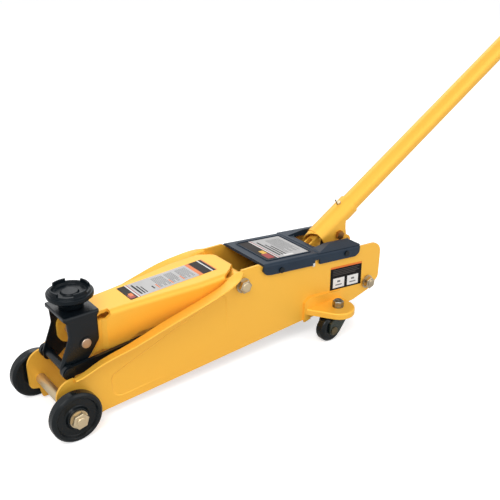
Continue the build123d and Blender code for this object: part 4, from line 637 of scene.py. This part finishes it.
@dataclass
class Label:
    """A printed sheet on a CAD surface, with blocks of colour and no lettering."""

    name: str
    node: str
    body: str
    facing: Facing
    corners: tuple[Vector, Vector]
    ground: Finish
    slot: str = "yellow_enamel"
    patches: Sequence[Patch] = field(default_factory=tuple)
    slant: float = 0.0
    lift: float = 0.18 * MM
    thickness: float = 0.12 * MM
    grid: float = 6.0 * MM
    least_share: float = 0.01

    def cuts(self) -> tuple[list[float], list[float]]:
        """Shares of the length and the width where the sheet is cut between colours."""
        along = sorted({round(value, 5) for patch in self.patches for value in (patch.start, patch.end)})
        across = sorted({round(value, 5) for patch in self.patches for value in (patch.low, patch.high)})
        return [v for v in along if 0 < v < 1], [v for v in across if 0 < v < 1]

    def axes(self) -> tuple[Vector, Vector]:
        """Directions of the label's length and width."""
        across = Vector((0, 1, 0)) if self.facing is Facing.UP else Vector((0, 0, 1))
        return Vector((1, 0, 0)), across

    def build(self) -> bpy.types.Object:
        """Cuts, colours and lays the sheet on its surface.

        Returns:
            The label piece.
        """
        low, high = self.corners
        middle = (low + high) / 2
        long_axis, wide_axis = self.axes()
        length = (high - low).dot(long_axis)
        width = (high - low).dot(wide_axis)
        turn = (0, 0, 0) if self.facing is Facing.UP else (math.radians(90), 0, 0)
        leave_edit_mode()
        bpy.ops.mesh.primitive_plane_add(size=1, location=middle, rotation=turn)
        obj = bpy.context.object
        obj.scale = (length, width, 1)
        bpy.ops.object.transform_apply(location=True, rotation=True, scale=True)
        bpy.ops.object.mode_set(mode="EDIT")
        along, across = self.cuts()
        for shares, axis, size in ((along, long_axis, length), (across, wide_axis, width)):
            steps = max(2, int(size / self.grid))
            regular = [step / steps for step in range(1, steps)]
            spare = {v for v in regular if all(abs(v - s) > self.least_share for s in shares)}
            for share in sorted(set(shares) | spare):
                bpy.ops.mesh.select_all(action="SELECT")
                point = low + axis * size * share
                bpy.ops.mesh.bisect(plane_co=point, plane_no=axis)
        leave_edit_mode()
        self.colour(obj, low, length, width)
        if self.slant:
            for vertex in obj.data.vertices:
                share = (vertex.co - low).dot(long_axis) / length
                vertex.co += wide_axis * self.slant * (share - 0.5)
        self.lay(obj)
        return place_piece(obj, self.name, self.body, self.ground.material())

    def colour(self, obj: bpy.types.Object, low: Vector, length: float, width: float) -> None:
        """Gives each face of the sheet the colour of the last patch that covers it.

        Args:
            obj: The sheet.
            low: Its low corner.
            length: Its length.
            width: Its width.
        """
        long_axis, wide_axis = self.axes()
        finishes = [self.ground] + [patch.finish for patch in self.patches]
        names: list[str] = []
        for finish in finishes:
            if finish.name not in names:
                names.append(finish.name)
                obj.data.materials.append(finish.material())
        for face in obj.data.polygons:
            share = (face.center - low).dot(long_axis) / length
            level = (face.center - low).dot(wide_axis) / width
            chosen = self.ground
            for patch in self.patches:
                if patch.start < share < patch.end and patch.low < level < patch.high:
                    chosen = patch.finish
            face.material_index = names.index(chosen.name)

    def lay(self, obj: bpy.types.Object) -> None:
        """Lays the sheet on the CAD surface under it and gives it its thickness."""
        downward = self.facing is Facing.UP
        apply_modifier(
            obj,
            "SHRINKWRAP",
            target=NODES[self.node],
            wrap_method="PROJECT",
            use_project_x=False,
            use_project_y=not downward,
            use_project_z=downward,
            use_negative_direction=True,
            use_positive_direction=True,
            offset=self.lift,
        )
        apply_modifier(obj, "SOLIDIFY", thickness=self.thickness, offset=0.0)
        smooth(obj, CREASE_ANGLE)


# ------------------------------------------------------------------ sub-assemblies
@dataclass
class Chassis:
    """Side plates, cover, caster brackets and the fasteners that hold them."""

    label_low: tuple[float, float] = (385.0, 55.0)
    label_high: tuple[float, float] = (443.5, 89.5)
    label_slant: float = -6.0
    label_clearance: float = 5.0
    cover_label_front: float = 284.5
    cover_label_rear: float = 352.5
    cover_label_half: float = 31.5
    frame_margin: float = 3.2
    bead_corner: float = 3.0
    bead_width: float = 1.8
    bead_height: float = 1.0
    bead_edge: float = 0.45
    bead_seat: float = 0.02
    ridge_at: float = 362.5
    ridge_half: float = 41.5
    ridge_width: float = 5.0
    ridge_depth: float = 1.6
    ridge_edge: float = 0.75
    ray_height: float = 20.0
    notch: tuple[float, float] = (349.6, 353.8)
    notch_edge: float = 0.7
    # dark slate block in the notch's upper corner: painted shade, in the cover's colour
    shade_block_heights: tuple[float, float] = (109.6, 114.6)
    shade_block_depth: float = 3.2
    # hook in the notch: a real lug of the plate, with pale zinc as a painted highlight
    highlight_hook_heights: tuple[float, float] = (105.0, 110.0)
    highlight_hook_depth: float = 3.4

    def build(self) -> None:
        """Builds the chassis's pieces and dresses its nodes."""
        self.dress()
        self.side_label().build()
        self.cover_label().build()
        self.cover_frame()
        self.cover_ridge()
        # the side notch gets a block of painted shade and a hook with a painted highlight
        self.notch_shade_block()
        self.notch_highlight_peg()

    def dress(self) -> None:
        """Gives the CAD nodes of the chassis their finishes."""
        dress(("side_plate_left", "side_plate_right", "caster_bracket_left", "caster_bracket_right"), YELLOW)
        dress(("cover",), SLATE)
        dress(("cover_screws", "link_studs", "tank_cradle", "rear_spacers", "spring_anchor"), BLACK)
        dress(("pivot_nuts", "rear_tie_bolt", "rear_nuts"), PALE_GOLD_ZINC)
        dress(("kingpin_left", "kingpin_right", "kingpin_nut_left", "kingpin_nut_right"), DULL_ZINC)
        dress(("pivot_shaft",), YELLOW_ZINC)

    def side_label(self) -> Label:
        """The panel at the rear of the left plate: black with an orange head and two pale squares."""
        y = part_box("rear_nuts")[0].y
        low = Vector((behind(self.label_low[0]), y, self.label_low[1] * MM))
        high = Vector((behind(self.label_high[0]), y, self.label_high[1] * MM))
        patches = (
            Patch(0.0, 1.0, 0.92, 1.0, LABEL_ORANGE),
            Patch(0.09, 0.45, 0.07, 0.49, LABEL_WHITE),
            Patch(0.54, 0.90, 0.07, 0.49, LABEL_WHITE),
            *(Patch(at, at + 0.20, 0.17, 0.22, LABEL_PALE_GREY) for at in (0.17, 0.62)),
            *(Patch(at, at + 0.10, 0.30, 0.38, LABEL_PALE_GREY) for at in (0.22, 0.67)),
            Patch(0.08, 0.92, 0.82, 0.85, LABEL_GREY),
            Patch(0.08, 0.86, 0.75, 0.78, LABEL_GREY),
            Patch(0.08, 0.92, 0.68, 0.71, LABEL_GREY),
            Patch(0.08, 0.80, 0.61, 0.64, LABEL_GREY),
        )
        return Label("side_label", "side_plate_left", "chassis", Facing.LEFT, (low, high), LABEL_BLACK,
                     patches=patches, slant=self.label_slant * MM)

    def cover_label(self) -> Label:
        """The sheet on the cover: silver, with a dark, red and orange block at its front."""
        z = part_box("cover")[1].z + self.label_clearance * MM
        low = Vector((behind(self.cover_label_front), -self.cover_label_half * MM, z))
        high = Vector((behind(self.cover_label_rear), self.cover_label_half * MM, z))
        patches = (
            Patch(0.0, 0.24, 0.0, 1.0, LABEL_UMBER),
            Patch(0.05, 0.21, 0.05, 0.30, LABEL_RED),
            Patch(0.10, 0.21, 0.30, 0.46, LABEL_YELLOW),
            Patch(0.24, 0.27, 0.0, 1.0, LABEL_WHITE),
            Patch(0.27, 0.29, 0.0, 1.0, LABEL_RED),
            Patch(0.35, 0.39, 0.10, 0.88, LABEL_BLACK),
            Patch(0.43, 0.46, 0.10, 0.70, LABEL_BLACK),
            Patch(0.50, 0.53, 0.10, 0.60, LABEL_BLACK),
            Patch(0.43, 0.66, 0.03, 0.09, LABEL_WHITE),
            *ruled_lines(0.58, 0.96, 0.035, 0.16, 0.90, LABEL_PALE_GREY),
        )
        return Label("cover_label", "cover", "chassis", Facing.UP, (low, high), LABEL_SILVER,
                     "blue_black_enamel", patches)

    def cover_frame(self) -> bpy.types.Object:
        """Raised bead pressed in the cover around its label.

        Returns:
            The bead piece.
        """
        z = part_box("cover")[1].z + self.label_clearance * MM
        middle = behind((self.cover_label_front + self.cover_label_rear) / 2)
        length = self.cover_label_rear - self.cover_label_front + 2 * self.frame_margin
        width = 2 * (self.cover_label_half + self.frame_margin)
        leave_edit_mode()
        bpy.ops.mesh.primitive_plane_add(size=1, location=(middle, 0, z))
        obj = bpy.context.object
        obj.scale = (length * MM, width * MM, 1)
        bpy.ops.object.transform_apply(location=True, rotation=True, scale=True)
        bpy.ops.object.mode_set(mode="EDIT")
        bpy.ops.mesh.select_all(action="SELECT")
        bpy.ops.mesh.bevel(offset=self.bead_corner * MM, segments=5, affect="VERTICES")
        bpy.ops.mesh.inset(thickness=self.bead_width * MM)
        bpy.ops.mesh.delete(type="FACE")
        leave_edit_mode()
        apply_modifier(
            obj, "SHRINKWRAP", target=NODES["cover"], wrap_method="PROJECT", use_project_z=True,
            use_negative_direction=True, use_positive_direction=True, offset=self.bead_seat * MM,
        )
        apply_modifier(obj, "SOLIDIFY", thickness=self.bead_height * MM, offset=1.0)
        apply_modifier(obj, "BEVEL", width=self.bead_edge * MM, segments=3, limit_method="ANGLE")
        settle(obj)
        smooth(obj, ROUND_ANGLE)
        return place_piece(obj, "cover_bead", "chassis", SLATE.material())

    def cover_ridge(self) -> bpy.types.Object:
        """Raised rib across the cover in front of the slot.

        Returns:
            The rib piece.
        """
        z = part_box("cover")[1].z
        leave_edit_mode()
        bpy.ops.mesh.primitive_cube_add(size=1, location=(behind(self.ridge_at), 0, z))
        obj = bpy.context.object
        obj.scale = Vector((self.ridge_width, 2 * self.ridge_half, self.ridge_depth)) * MM
        bpy.ops.object.transform_apply(location=True, rotation=True, scale=True)
        above = Vector((behind(self.ridge_at), 0.0, z + self.ray_height * MM))
        top = surface_point("cover", above, Vector((0, 0, -1)))
        for vertex in obj.data.vertices:
            vertex.co.z += top.z - z
        apply_modifier(obj, "BEVEL", width=self.ridge_edge * MM, segments=4, limit_method="ANGLE")
        settle(obj)
        smooth(obj, ROUND_ANGLE)
        return place_piece(obj, "cover_rib", "chassis", SLATE.material())

    def notch_shade_block(self) -> bpy.types.Object:
        """Dark slate block in the upper corner of the cover's side notch, painted shade in the cover's
        colour.

        Returns:
            The block of painted shade.
        """
        # the dark slate block stands in for the shade in the notch's upper corner: painted shade
        return self.notch_block("notch_shade_block", self.shade_block_heights, self.shade_block_depth, SLATE)

    def notch_highlight_peg(self) -> bpy.types.Object:
        """Hook of the plate in the notch, dressed in pale bright zinc as a painted highlight on its lit
        edge.

        Returns:
            The hook piece.
        """
        # the pale bright zinc stands in for the highlight on the lug's lit edge: painted highlight
        return self.notch_block("notch_hook_highlight", self.highlight_hook_heights, self.highlight_hook_depth, BRIGHT_ZINC)

    def notch_block(
        self, name: str, heights: tuple[float, float], depth: float, finish: Finish
    ) -> bpy.types.Object:
        """Builds a small rounded block in the cover's side notch.

        Args:
            name: The piece's name.
            heights: Its lower and upper height in millimetres.
            depth: How far it stands out from the cover's inner face, in millimetres.
            finish: What it is dressed in.

        Returns:
            The block.
        """
        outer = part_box("cover")[0].y
        size = Vector((self.notch[1] - self.notch[0], depth, heights[1] - heights[0])) * MM
        place = Vector((behind(sum(self.notch) / 2), outer + size.y / 2, sum(heights) / 2 * MM))
        leave_edit_mode()
        bpy.ops.mesh.primitive_cube_add(size=1, location=place)
        obj = bpy.context.object
        obj.scale = size
        bpy.ops.object.transform_apply(location=True, rotation=True, scale=True)
        apply_modifier(obj, "BEVEL", width=self.notch_edge * MM, segments=4, limit_method="ANGLE")
        settle(obj)
        smooth(obj, ROUND_ANGLE)
        return place_piece(obj, name, "chassis", finish.material())


@dataclass
class LiftingGear:
    """Arm, lever, link bars, saddle bracket and saddle."""

    label_front: float = 96.0
    label_rear: float = 216.0
    label_half: float = 17.6
    label_clearance: float = 5.0

    def build(self) -> None:
        """Builds the lifting gear's pieces and dresses its nodes."""
        dress(("lift_arm", "lift_lever"), YELLOW)
        dress(("link_bar_left", "link_bar_right", "cross_pin", "saddle_bracket"), BLACK)
        dress(("saddle",), BLACK_CAST)
        dress(("saddle_clip",), SPRING_WIRE)
        dress(("lever_pin",), GROUND_STEEL)
        dress(("saddle_pin",), ROSE_ZINC)
        self.arm_label().build()

    def arm_label(self) -> Label:
        """The long sheet on the arm: silver, with dark and warm blocks at both ends."""
        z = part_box("lift_arm")[1].z + self.label_clearance * MM
        low = Vector((behind(self.label_front), -self.label_half * MM, z))
        high = Vector((behind(self.label_rear), self.label_half * MM, z))
        patches = (
            Patch(0.0, 0.085, 0.0, 1.0, LABEL_UMBER),
            Patch(0.01, 0.07, 0.06, 0.34, LABEL_RED),
            Patch(0.03, 0.07, 0.20, 0.42, LABEL_ORANGE),
            Patch(0.085, 0.10, 0.0, 1.0, LABEL_WHITE),
            Patch(0.10, 0.11, 0.0, 1.0, LABEL_RED),
            Patch(0.135, 0.155, 0.12, 0.88, LABEL_BLACK),
            Patch(0.17, 0.185, 0.12, 0.72, LABEL_BLACK),
            Patch(0.20, 0.212, 0.12, 0.60, LABEL_BLACK),
            Patch(0.29, 0.305, 0.18, 0.40, LABEL_BLACK),
            *ruled_lines(0.36, 0.49, 0.016, 0.12, 0.86, LABEL_PALE_GREY),
            *ruled_lines(0.51, 0.62, 0.016, 0.12, 0.86, LABEL_PALE_GREY),
            *ruled_lines(0.64, 0.77, 0.016, 0.12, 0.86, LABEL_PALE_GREY),
            *(Patch(at, at + 0.014, 0.10, 0.42, LABEL_ORANGE) for at in (0.338, 0.49, 0.62)),
            Patch(0.79, 0.835, 0.0, 1.0, LABEL_ORANGE),
            Patch(0.835, 0.94, 0.0, 1.0, LABEL_UMBER),
            Patch(0.94, 0.955, 0.0, 1.0, LABEL_WHITE),
            Patch(0.955, 0.985, 0.0, 1.0, LABEL_UMBER),
            Patch(0.985, 1.0, 0.0, 1.0, LABEL_ORANGE),
        )
        return Label("arm_label", "lift_arm", "arm", Facing.UP, (low, high), LABEL_SILVER, patches=patches)


@dataclass
class PowerUnit:
    """Tank, ram and pump under the cover."""

    def build(self) -> None:
        """Dresses the power unit's nodes."""
        dress(("reservoir", "ram_gland", "pump_block", "ram_crosshead"), CASTING)
        dress(("filler_plug",), NYLON)
        dress(("ram", "pump_plunger"), CHROME)
        dress(("return_spring_left", "return_spring_right", "pump_spring"), SPRING_WIRE)
        dress(("release_valve",), BRIGHT_ZINC)


@dataclass
class PumpHandle:
    """Socket, handle tubes, grip and release rod."""

    hood_start: float = -24.5
    hood_length: float = 17.0
    hood_radius: float = 13.9
    hood_tip_radius: float = 12.4
    hood_wall: float = 1.5
    hood_edge: float = 0.4
    hood_floor: float = -5.0
    hood_crown: tuple[float, float, float] = (-30.5, 14.0, 0.0)
    hood_far_foot: tuple[float, float, float] = (-39.0, 0.0, 12.0)
    hood_near_foot: tuple[float, float, float] = (-27.0, 0.0, -9.0)
    pin_at: float = 27.3
    pin_radius: float = 0.8
    pin_low: float = 13.6
    pin_high: float = 22.0
    pin_head_flare: float = 1.5
    pin_head_height: float = 1.6
    pin_edge: float = 0.25

    def build(self) -> None:
        """Builds the handle's pieces and dresses its nodes."""
        self.coupling_hood()
        self.locating_pin()
        dress(("handle_socket", "lower_handle", "upper_handle", "release_rod"), YELLOW)
        dress(("handle_grip",), RUBBER)
        # the bolt head gets a darker orange-brown as painted shade on its yellow paint
        dress(("socket_bolt",), PAINTED_SHADE_AMBER)
        dress(("set_screw",), YELLOW_ZINC)
        dress(("pump_roller", "roller_pin"), GROUND_STEEL)

    def coupling_hood(self) -> bpy.types.Object:
        """Pinched hood that carries the socket's tube on over the release coupling.

        Returns:
            The hood piece.
        """
        axis = HANDLE_AXIS
        leave_edit_mode()
        bpy.ops.mesh.primitive_cone_add(
            vertices=96,
            radius1=self.hood_tip_radius * MM,
            radius2=self.hood_radius * MM,
            depth=self.hood_length * MM,
            end_fill_type="NOTHING",
            location=axis.at(self.hood_start - self.hood_length / 2, 0),
            rotation=axis.turn(axis.along),
        )
        obj = bpy.context.object
        bpy.ops.object.transform_apply(location=True, rotation=True, scale=True)
        crown = axis.at(*self.hood_crown)
        far_foot = axis.at(*self.hood_far_foot)
        near_foot = axis.at(*self.hood_near_foot)
        mouth = (far_foot - crown).cross(near_foot - crown).normalized()
        if mouth.dot(axis.along) > 0:
            mouth.negate()
        bpy.ops.object.mode_set(mode="EDIT")
        for place, facing in ((crown, mouth), (axis.at(0, self.hood_floor), -axis.above)):
            bpy.ops.mesh.select_all(action="SELECT")
            bpy.ops.mesh.bisect(plane_co=place, plane_no=facing, clear_outer=True)
        leave_edit_mode()
        apply_modifier(obj, "SOLIDIFY", thickness=self.hood_wall * MM, offset=-1.0)
        apply_modifier(obj, "BEVEL", width=self.hood_edge * MM, segments=3, limit_method="ANGLE")
        settle(obj)
        smooth(obj, CREASE_ANGLE)
        return place_piece(obj, "coupling_hood", "rocker", YELLOW.material())

    def locating_pin(self) -> bpy.types.Object:
        """Headed pin that stands out of the socket above the set screw's slot.

        Returns:
            The pin piece.
        """
        axis = HANDLE_AXIS
        leave_edit_mode()
        bpy.ops.mesh.primitive_cylinder_add(
            vertices=24,
            radius=self.pin_radius * MM,
            depth=(self.pin_high - self.pin_low) * MM,
            location=axis.at(self.pin_at, (self.pin_high + self.pin_low) / 2),
            rotation=axis.turn(axis.above),
        )
        obj = bpy.context.object
        bpy.ops.object.transform_apply(location=True, rotation=True, scale=True)
        choose_faces(obj, lambda centre, normal: normal.dot(axis.above) > 0.9)
        bpy.ops.mesh.extrude_region_move()
        bpy.ops.transform.resize(value=(self.pin_head_flare,) * 3)
        head = axis.above * self.pin_head_height * MM
        bpy.ops.mesh.extrude_region_move(TRANSFORM_OT_translate={"value": head})
        leave_edit_mode()
        apply_modifier(obj, "BEVEL", width=self.pin_edge * MM, segments=2, limit_method="ANGLE")
        settle(obj)
        smooth(obj, CREASE_ANGLE)
        return place_piece(obj, "locating_pin", "rocker", DULL_ZINC.material())


@dataclass
class RunningGear:
    """Front wheels on their axle and the two casters."""

    def build(self) -> None:
        """Dresses the running gear's nodes."""
        dress(("front_wheel_left", "front_wheel_right", "caster_wheel_left", "caster_wheel_right"), NYLON)
        dress(("front_axle",), YELLOW_ZINC)
        dress(("front_spacers", "front_nut_left", "front_nut_right"), YELLOW_ZINC)
        dress(("caster_fork_left", "caster_fork_right"), CASTER_GREEN)
        dress(("caster_axle_left", "caster_axle_right"), BRONZE_ZINC)


# ------------------------------------------------------------------ studio
@dataclass
class Studio:
    """Pale floor, soft lamps and the camera."""

    azimuth: float = -37.15
    elevation: float = 24.27
    lens: float = 56.26
    eye: tuple[float, float, float] = (-273.4, -730.7, 546.0)
    floor_size: float = 12.0
    floor_colour: Colour = (0.80, 0.80, 0.80)
    floor_lift: float = 0.55
    world_colour: Colour = (0.97, 0.98, 1.0)
    world_strength: float = 0.55
    lamp_aim: tuple[float, float] = (220.0, 80.0)

    def build(self) -> None:
        """Builds the floor, the lamps, the world and the camera."""
        self.floor()
        self.world()
        for name, place, size, power in (
            ("key", (-1.3, -1.1, 1.9), 1.3, 31.0),
            ("fill", (1.2, -1.9, 1.2), 1.8, 14.0),
            ("back", (0.7, 1.6, 1.5), 1.4, 11.0),
        ):
            self.lamp(name, Vector(place), size, power)
        self.camera()

    def floor(self) -> None:
        """Adds the floor, which is white to the camera outside the object's shadow."""
        leave_edit_mode()
        bpy.ops.mesh.primitive_plane_add(size=self.floor_size, location=(0, 0, 0))
        obj = bpy.context.object
        obj.name = "studio_floor"
        obj.data.materials.append(self.white_to_camera("studio_floor"))

    def white_to_camera(self, name: str) -> bpy.types.Material:
        """Floor material: plain pale diffuse, lifted to white where the camera sees it lit.

        Args:
            name: The material's name.

        Returns:
            The new material.
        """
        made = bpy.data.materials.new(name)
        made.use_nodes = True
        tree = made.node_tree
        tree.nodes.remove(tree.nodes["Principled BSDF"])
        plain = tree.nodes.new("ShaderNodeBsdfDiffuse")
        plain.inputs["Color"].default_value = (*self.floor_colour, 1.0)
        lift = tree.nodes.new("ShaderNodeEmission")
        lift.inputs["Color"].default_value = (1, 1, 1, 1)
        lift.inputs["Strength"].default_value = self.floor_lift
        both = tree.nodes.new("ShaderNodeAddShader")
        path = tree.nodes.new("ShaderNodeLightPath")
        seen = tree.nodes.new("ShaderNodeMath")
        seen.operation = "MAXIMUM"
        tree.links.new(path.outputs["Is Camera Ray"], seen.inputs[0])
        tree.links.new(path.outputs["Is Transmission Ray"], seen.inputs[1])
        choose = tree.nodes.new("ShaderNodeMixShader")
        tree.links.new(seen.outputs[0], choose.inputs[0])
        tree.links.new(plain.outputs[0], choose.inputs[1])
        tree.links.new(plain.outputs[0], both.inputs[0])
        tree.links.new(lift.outputs[0], both.inputs[1])
        tree.links.new(both.outputs[0], choose.inputs[2])
        tree.links.new(choose.outputs[0], tree.nodes["Material Output"].inputs["Surface"])
        return made

    def world(self) -> None:
        """Sets a pale world: white to the camera and in reflections, plain light otherwise."""
        world = bpy.data.worlds.new("studio_world")
        bpy.context.scene.world = world
        world.use_nodes = True
        tree = world.node_tree
        background = tree.nodes["Background"]
        background.inputs["Color"].default_value = (*self.world_colour, 1.0)
        path = tree.nodes.new("ShaderNodeLightPath")
        first = tree.nodes.new("ShaderNodeMath")
        first.operation = "MAXIMUM"
        second = tree.nodes.new("ShaderNodeMath")
        second.operation = "MAXIMUM"
        level = tree.nodes.new("ShaderNodeMapRange")
        level.inputs["To Min"].default_value = self.world_strength
        level.inputs["To Max"].default_value = 1.0
        tree.links.new(path.outputs["Is Camera Ray"], first.inputs[0])
        tree.links.new(path.outputs["Is Glossy Ray"], first.inputs[1])
        tree.links.new(first.outputs[0], second.inputs[0])
        tree.links.new(path.outputs["Is Transmission Ray"], second.inputs[1])
        tree.links.new(second.outputs[0], level.inputs["Value"])
        tree.links.new(level.outputs["Result"], background.inputs["Strength"])

    def lamp(self, name: str, place: Vector, size: float, power: float) -> None:
        """Adds a soft square lamp that looks at the middle of the chassis.

        Args:
            name: The lamp's name.
            place: Where it hangs, relative to the middle of the chassis.
            size: Its side in metres.
            power: Its power in watts.
        """
        target = Vector((behind(self.lamp_aim[0]), 0, self.lamp_aim[1] * MM))
        data = bpy.data.lights.new(name, "AREA")
        data.size = size
        data.energy = power
        obj = bpy.data.objects.new(name, data)
        bpy.context.scene.collection.objects.link(obj)
        obj.location = target + place
        obj.rotation_euler = (-place).to_track_quat("-Z", "Y").to_euler()

    def camera(self) -> None:
        """Adds the camera at the product view."""
        data = bpy.data.cameras.new("product_view")
        data.lens = self.lens
        data.clip_start = 0.01
        data.clip_end = 50
        obj = bpy.data.objects.new("product_view", data)
        bpy.context.scene.collection.objects.link(obj)
        obj.location = (behind(self.eye[0]), self.eye[1] * MM, self.eye[2] * MM)
        a, e = math.radians(self.azimuth), math.radians(self.elevation)
        back = Vector((math.sin(a) * math.cos(e), -math.cos(a) * math.cos(e), math.sin(e)))
        obj.rotation_euler = (-back).to_track_quat("-Z", "Y").to_euler()
        bpy.context.scene.camera = obj
        bpy.context.scene.view_settings.view_transform = "Standard"


def main() -> None:
    """Builds and dresses the jack, then the studio."""
    logging.basicConfig(level=logging.INFO, format="%(name)s: %(message)s")
    for assembly in (Chassis(), LiftingGear(), PowerUnit(), PumpHandle(), RunningGear(), Studio()):
        assembly.build()
        log.info("%s done", type(assembly).__name__)


if __name__ == "__main__":
    main()
